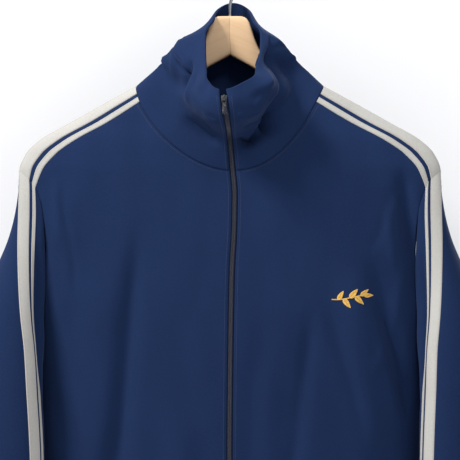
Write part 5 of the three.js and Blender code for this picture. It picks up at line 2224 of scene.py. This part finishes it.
@dataclass
class Sprig:
    """A small embroidered sprig on the wearer's left chest: leaves of satin stitch on a stem.

    Each leaf has its place on the stem, its side, its length and its angle.
    """

    shop: Workshop
    x: float = 131.0
    z: float = -374.0
    length: float = 42.0
    stem_end: float = 0.32
    thread: float = 0.62
    pitch: float = 0.42
    lift: float = 1.1
    leaves: tuple[tuple[float, float, float, float], ...] = (
        (-0.34, 1, 11.0, 58.0), (-0.2, -1, 12.0, 52.0), (-0.04, 1, 12.5, 48.0), (0.1, -1, 12.0, 44.0),
        (0.24, 1, 10.5, 40.0), (0.5, 0, 10.0, 0.0),
    )

    def stem(self, share: Array) -> Array:
        """Points of the stem, flat on the chest, at shares from -0.5 to 0.5."""
        return np.stack([self.length * share, 2.2 * np.sin(share * 4.2)], -1)

    def stem_threads(self) -> Array:
        """The threads of the stem, on a slant across it.

        Returns:
            Both ends of each thread.
        """
        line = self.stem(np.linspace(-0.5, self.stem_end, 70))
        way = np.gradient(line, axis=0)
        way /= np.linalg.norm(way, axis=-1, keepdims=True)
        slant = np.stack([way[:, 0] * 0.5 - way[:, 1], way[:, 1] * 0.5 + way[:, 0]], -1)
        return np.stack([line - slant * 0.55, line + slant * 0.55], 1)

    def leaf_threads(self, place: float, side: float, size: float, angle: float) -> list[Array]:
        """The threads of a leaf, from its edges to its spine.

        Args:
            place: where it leaves the stem, from -0.5 to 0.5.
            side: 1 above the stem, -1 below it, 0 at its end.
            size: its length.
            angle: from the stem, in degrees.
        Returns:
            Both ends of each thread, for its two halves.
        """
        root = self.stem(np.array([min(place, self.stem_end)]))[0]
        lean = math.radians(side * angle)
        along = np.array((math.cos(lean), math.sin(lean)))
        across = np.array((-along[1], along[0]))
        t = np.linspace(0.06, 1.0, int(size / self.pitch))
        width = size * 0.24 * np.sin(math.pi * t**0.8) ** 0.8
        spine, tilt = root + along * (size * t)[:, None], along * 0.45
        one = spine + (across - tilt) * width[:, None]
        two = spine + (-across - tilt) * width[:, None]
        return [np.stack([one, spine], 1), np.stack([spine, two], 1)]

    def on_chest(self, flat: Array) -> Path:
        """The cloth of the chest.

        Args:
            flat: flat places from the sprig's middle.
        Returns:
            The points over them and the way out of the cloth.
        """
        body = self.shop.body
        x, height = self.x + flat[:, 0], self.z + flat[:, 1]
        turn = body.turn_beside_zip(x, height)
        for _ in range(6):
            turn = turn + (x - body.point(turn, height)[:, 0]) / 3.6
        return path_on(body.point, turn, height, body.steps, self.lift)

    def build(self) -> None:
        """Makes the embroidery."""
        leaves = [half for leaf in self.leaves for half in self.leaf_threads(*leaf)]
        ends = np.concatenate([self.stem_threads(), *leaves])
        middles, ways = ends.mean(1), ends[:, 1] - ends[:, 0]
        lengths = np.linalg.norm(ways, axis=-1) + self.thread * 0.6
        threads, ahead = self.on_chest(middles), self.on_chest(middles + ways * 0.2)
        mesh = bpy.data.meshes.new("embroidered_sprig")
        mesh.from_pydata((threads.points * MM).tolist(), [], [])
        mark_points(mesh, out=threads.out, along=ahead.points - threads.points, length=lengths * MM)
        piece = new_object("embroidered_sprig", mesh)
        self.shop.repeats.apply(piece, self.shop.repeats.satin, self.shop.finishes.gold_thread,
                                {"Thickness": self.thread * MM})
        self.shop.settle(piece, "pale_tape")


@dataclass
class Hanger:
    """The wooden hanger in two arms that meet at a mitre, and its wire hook."""

    shop: Workshop
    thickness: float = 11.0
    bend: float = 0.145
    arm_slope: float = 0.565
    sides: int = 40
    squareness: float = 0.36
    tip_from: float = 203.0
    tip_length: float = 7.9
    mitre_gap: float = 0.05
    wire_radius: float = 1.7
    hook_radius: float = 19.0
    wood_top: float = -64.0

    def __post_init__(self) -> None:
        """Sets up the outline."""
        self.outline = SmoothTable("x top bottom", (
            (0, -64.0, -107.0), (12, -64.3, -113.8), (17.5, -66.2, -116.9), (21.5, -71.5, -119.1),
            (24.8, -80.5, -121.0), (28, -90.5, -122.8), (32.5, -100.8, -125.4), (39, -110.2, -129.0),
            (48, -118.0, -134.1), (60, -125.2, -140.9), (103, -149.4, -165.2), (150, -175.9, -191.8),
            (196, -202.0, -217.7), (203, -207.2, -221.3), (208, -213.5, -223.6), (210.6, -219.5, -224.0),
        ))

    def build(self) -> None:
        """Makes the wood and the hook."""
        one, two = (self.arm(side) for side in Side)
        shell = Shell.without_seams(np.concatenate([one.points, two.points]),
                                    np.concatenate([one.quads, two.quads + len(one.points)]),
                                    np.concatenate([one.flat, two.flat]))
        piece = add_object("hanger_wood", shell, self.shop.finishes.wood, 60.0)
        self.shop.settle(piece, "hanger_wood", "hanger")
        hook = add_object("hanger_wire", self.wire(), self.shop.finishes.steel, 60.0)
        self.shop.settle(hook, "hook_steel", "hanger_hook")

    def arm(self, side: Side) -> Shell:
        """One arm, from the mitre to its tip, with its flat places along the grain.

        Args:
            side: the side that it reaches to.
        Returns:
            Its mesh.
        """
        stations = np.concatenate([[self.mitre_gap, 0.4, 1.0], np.linspace(2.5, 60.0, 44),
                                   np.linspace(62.5, self.tip_from, 48), np.linspace(204.0, 210.4, 8)])
        profile, count, rows = self.outline(stations), self.sides, len(stations)
        angle = np.linspace(0.0, 2.0 * math.pi, count + 1)
        depth = np.sign(np.sin(angle)) * np.abs(np.sin(angle)) ** self.squareness
        rise = np.sign(np.cos(angle)) * np.abs(np.cos(angle)) ** (self.squareness * 1.25)
        middle = (profile["top"] + profile["bottom"]) / 2
        half_height = (profile["top"] - profile["bottom"]) / 2
        chamfer = np.interp(stations, [self.mitre_gap, 0.4, 1.0], [0.16, 0.04, 0.0])
        past = ((stations - self.tip_from) / self.tip_length).clip(0, 1)
        tip = np.sqrt(np.clip(1.0 - past**2, 0.05, 1.0))
        z = middle[:, None] + (half_height - chamfer)[:, None] * rise[None, :]
        y = (self.thickness / 2 * tip - chamfer)[:, None] * depth[None, :] - self.bend * stations[:, None]
        x = np.broadcast_to(side.value * stations[:, None], z.shape)
        ring = np.stack([x, y, z], -1)[:, :-1]
        slope = math.atan(self.arm_slope)
        along = stations[:, None] * math.cos(slope) - z * math.sin(slope)
        across = stations[:, None] * math.sin(slope) + z * math.cos(slope)
        flats = np.stack([along + side.value * 300.0, across + y * 0.8], -1).reshape(-1, 2)
        points = np.concatenate([ring.reshape(-1, 3), ring[0].mean(0)[None], ring[-1].mean(0)[None]])
        here, last_row = np.arange(count), (rows - 1) * count
        ahead = (here + 1) % count
        hub = np.full(count, rows * count)
        first = np.stack([hub, ahead, here, here], -1)
        last = np.stack([hub + 1, last_row + here, last_row + ahead, last_row + ahead], -1)
        caps = np.broadcast_to(flats[0], (2 * count, 4, 2))
        quads = np.concatenate([grid_quads(rows, count, count, True, True), first, last])
        flat = np.concatenate([flats[grid_quads(rows, count, count + 1, True, False)], caps])
        if side is Side.LEFT:
            quads, flat = quads[:, ::-1], flat[:, ::-1]
        return Shell.without_seams(points, quads, flat)

    def wire(self) -> Shell:
        """The hook: a straight shank, then round over the rail.

        Returns:
            Its mesh.
        """
        radius = self.hook_radius
        centre = self.wire_radius - radius
        turn = np.radians(np.linspace(-55.0, 205.0, 60))
        arc = np.stack([radius * np.cos(turn), np.zeros_like(turn), centre + radius * np.sin(turn)], -1)
        shank = np.array([(0, 0, self.wood_top + 0.3), (0, 0, -60), (0, 0, -56), (0.15, 0, -52),
                          (0.9, 0, -47.5), (2.6, 0, -43.8), (5.4, 0, -40.3), (8.2, 0, -36.9)])
        return tube_along(np.concatenate([shank, arc[2:]]), self.wire_radius, 20)


def tube_along(path: Array, radius: float, sides: int) -> Shell:
    """A round tube along a path in the plane of X and Z, with domed ends.

    Args:
        path: the points of its middle line.
        radius: its radius.
        sides: how many sides it has.
    Returns:
        Its mesh, with no flat places.
    """
    way = np.gradient(path, axis=0)
    way /= np.linalg.norm(way, axis=-1, keepdims=True)
    out = np.array((0.0, 1.0, 0.0))
    beside = np.cross(way, out)
    dome = ((0.0, 0.0), (0.55, 0.35), (0.9, 0.75))
    rings = [path[0] - way[0] * radius * (0.75 - back) for _, back in dome]
    rings += [*path[1:-1], *(path[-1] + way[-1] * radius * (0.75 - back) for _, back in reversed(dome))]
    sizes = [max(size * radius, 1e-3) for size, _ in dome]
    radii = [*sizes, *[radius] * (len(path) - 2), *reversed(sizes)]
    sides_of = [beside[0]] * 3 + list(beside[1:-1]) + [beside[-1]] * 3
    angle = np.linspace(0, 2 * math.pi, sides, endpoint=False)
    points = np.concatenate([
        centre + size * (np.cos(angle)[:, None] * side + np.sin(angle)[:, None] * out)
        for centre, size, side in zip(rings, radii, sides_of)
    ])
    last = (len(rings) - 1) * sides
    cap_one = [[0, sides - i, sides - i - 1, sides - i - 1] for i in range(1, sides - 1)]
    cap_two = [[last, last + i, last + i + 1, last + i + 1] for i in range(1, sides - 1)]
    quads = np.concatenate([grid_quads(len(rings), sides, sides, True, True), cap_one, cap_two])[:, ::-1]
    return Shell.without_seams(points, quads, np.zeros((len(quads), 4, 2)))


# The studio


@dataclass(frozen=True)
class Lamp:
    """A square area light, in metres and watts."""

    name: str
    place: tuple[float, float, float]
    target: tuple[float, float, float]
    size: float
    power: float

    def build(self) -> None:
        """Puts the lamp into the scene."""
        data = bpy.data.lights.new(self.name, "AREA")
        data.size, data.energy = self.size, self.power
        light = new_object(self.name, data)
        light.location = self.place
        light.rotation_euler = (Vector(self.target) - Vector(self.place)).to_track_quat("-Z", "Y").to_euler()


@dataclass
class Studio:
    """The stage, the lamps and the camera. The stage and the lamps are in metres."""

    view_width: float = 506.0
    view_middle: tuple[float, float] = (0.0, -301.0)
    target_y: float = -20.0
    camera_distance: float = 2500.0
    sensor: float = 36.0
    half_width: float = 4.0
    wall_y: float = 0.085
    wall_top: float = 2.6
    floor_z: float = -1.25
    floor_front: float = -6.0
    sky: Colour = (0.93, 0.95, 1.0)
    sky_strength: float = 0.42
    lamps: tuple[Lamp, ...] = (
        Lamp("key", (-1.95, -1.0, 2.1), (0.0, 0.0, -0.35), 0.8, 135.0),
        Lamp("top", (0.35, -0.85, 1.1), (0.0, 0.0, -0.14), 0.4, 8.0),
        Lamp("fill", (1.9, -2.4, 0.1), (0.0, 0.0, -0.4), 1.8, 9.0),
        Lamp("back", (1.4, 2.4, 0.9), (0.0, 0.0, -0.4), 1.6, 45.0),
    )

    def build(self) -> None:
        """Sets up the studio."""
        self.build_stage()
        for lamp in self.lamps:
            lamp.build()
        self.build_sky()
        self.build_camera()

    def build_stage(self) -> None:
        """A pale wall and a pale floor, both clear from behind."""
        half, low, top = self.half_width, self.floor_z, self.wall_top
        wall = self.one_sided("pale_wall", (0.5, 0.5, 0.51), 0.43, True)
        self.plane("backdrop", [(-half, self.wall_y, low), (half, self.wall_y, low),
                                (half, self.wall_y, top), (-half, self.wall_y, top)], wall)
        floor = self.one_sided("pale_floor", (0.8, 0.8, 0.81), 0.0, False)
        self.plane("floor", [(-half, self.floor_front, low), (half, self.floor_front, low), (half, half, low),
                             (-half, half, low)], floor)

    @staticmethod
    def one_sided(name: str, colour: Colour, glow: float, lets_light_by: bool) -> bpy.types.Material:
        """Makes a matt finish that is clear from behind.

        Args:
            name: the finish's name.
            colour: its colour.
            glow: how strongly it shines by itself.
            lets_light_by: whether only the camera sees it, so that no lamp behind it is shut off.
        Returns:
            The finish.
        """
        material, g, shader = new_material(name)
        g.fill(shader, {"Base Color": colour, "Emission Color": (1.0, 1.0, 1.0), "Emission Strength": glow,
                        "Roughness": 0.95})
        clear = g.add("ShaderNodeNewGeometry").outputs["Backfacing"]
        if lets_light_by:
            unseen = g.math("SUBTRACT", 1.0, g.add("ShaderNodeLightPath").outputs["Is Camera Ray"])
            clear = g.math("MAXIMUM", clear, unseen)
        through = g.add("ShaderNodeBsdfTransparent")
        mixed = g.add("ShaderNodeMixShader", {0: clear, 1: shader.outputs[0], 2: through.outputs[0]})
        output = next(n for n in material.node_tree.nodes if n.type == "OUTPUT_MATERIAL")
        g.fill(output, {"Surface": mixed.outputs[0]})
        return material

    @staticmethod
    def plane(name: str, corners: Sequence[tuple[float, float, float]], material: bpy.types.Material) -> None:
        """Adds a flat stage piece.

        Args:
            name: its name.
            corners: its four corners.
            material: its finish.
        """
        mesh = bpy.data.meshes.new(name)
        mesh.from_pydata(corners, [], [(0, 1, 2, 3)])
        mesh.materials.append(material)
        new_object(name, mesh)

    def build_sky(self) -> None:
        """An even sky, and colours shown as they are."""
        world = bpy.data.worlds.new("studio")
        world.use_nodes = True
        background = next(n for n in world.node_tree.nodes if n.type == "BACKGROUND")
        background.inputs["Color"].default_value = (*self.sky, 1.0)
        background.inputs["Strength"].default_value = self.sky_strength
        bpy.context.scene.world = world
        bpy.context.scene.view_settings.view_transform = "Standard"
        bpy.context.scene.view_settings.look = "None"

    def build_camera(self) -> None:
        """A long lens straight in front of the jacket."""
        data = bpy.data.cameras.new("camera")
        data.sensor_width = self.sensor
        data.lens = self.sensor * self.camera_distance / self.view_width
        data.clip_end = 100.0
        camera = new_object("camera", data)
        x, z = self.view_middle
        camera.location = (x * MM, (self.target_y - self.camera_distance) * MM, z * MM)
        camera.rotation_euler = (math.radians(90.0), 0.0, 0.0)
        bpy.context.scene.camera = camera


def main() -> None:
    """Builds the jacket, its hanger and the studio."""
    logging.basicConfig(level=logging.INFO, format="%(name)s %(message)s")
    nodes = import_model()["nodes"]
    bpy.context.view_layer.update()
    body = BodyForm()
    collar = CollarForm(body)
    shop = Workshop(nodes, body, SleeveForm(body), collar, ZipPath(body, collar), Finishes(), Repeats())
    Studio().build()
    panels, sleeves = Panels(shop), Sleeves(shop)
    Hanger(shop).build()
    panels.build()
    sleeves.build()
    Collar(shop).build()
    HemBand(shop).build()
    Zip(shop).build()
    Sewing(shop, panels, sleeves).build()
    Sprig(shop).build()


if __name__ == "__main__":
    main()
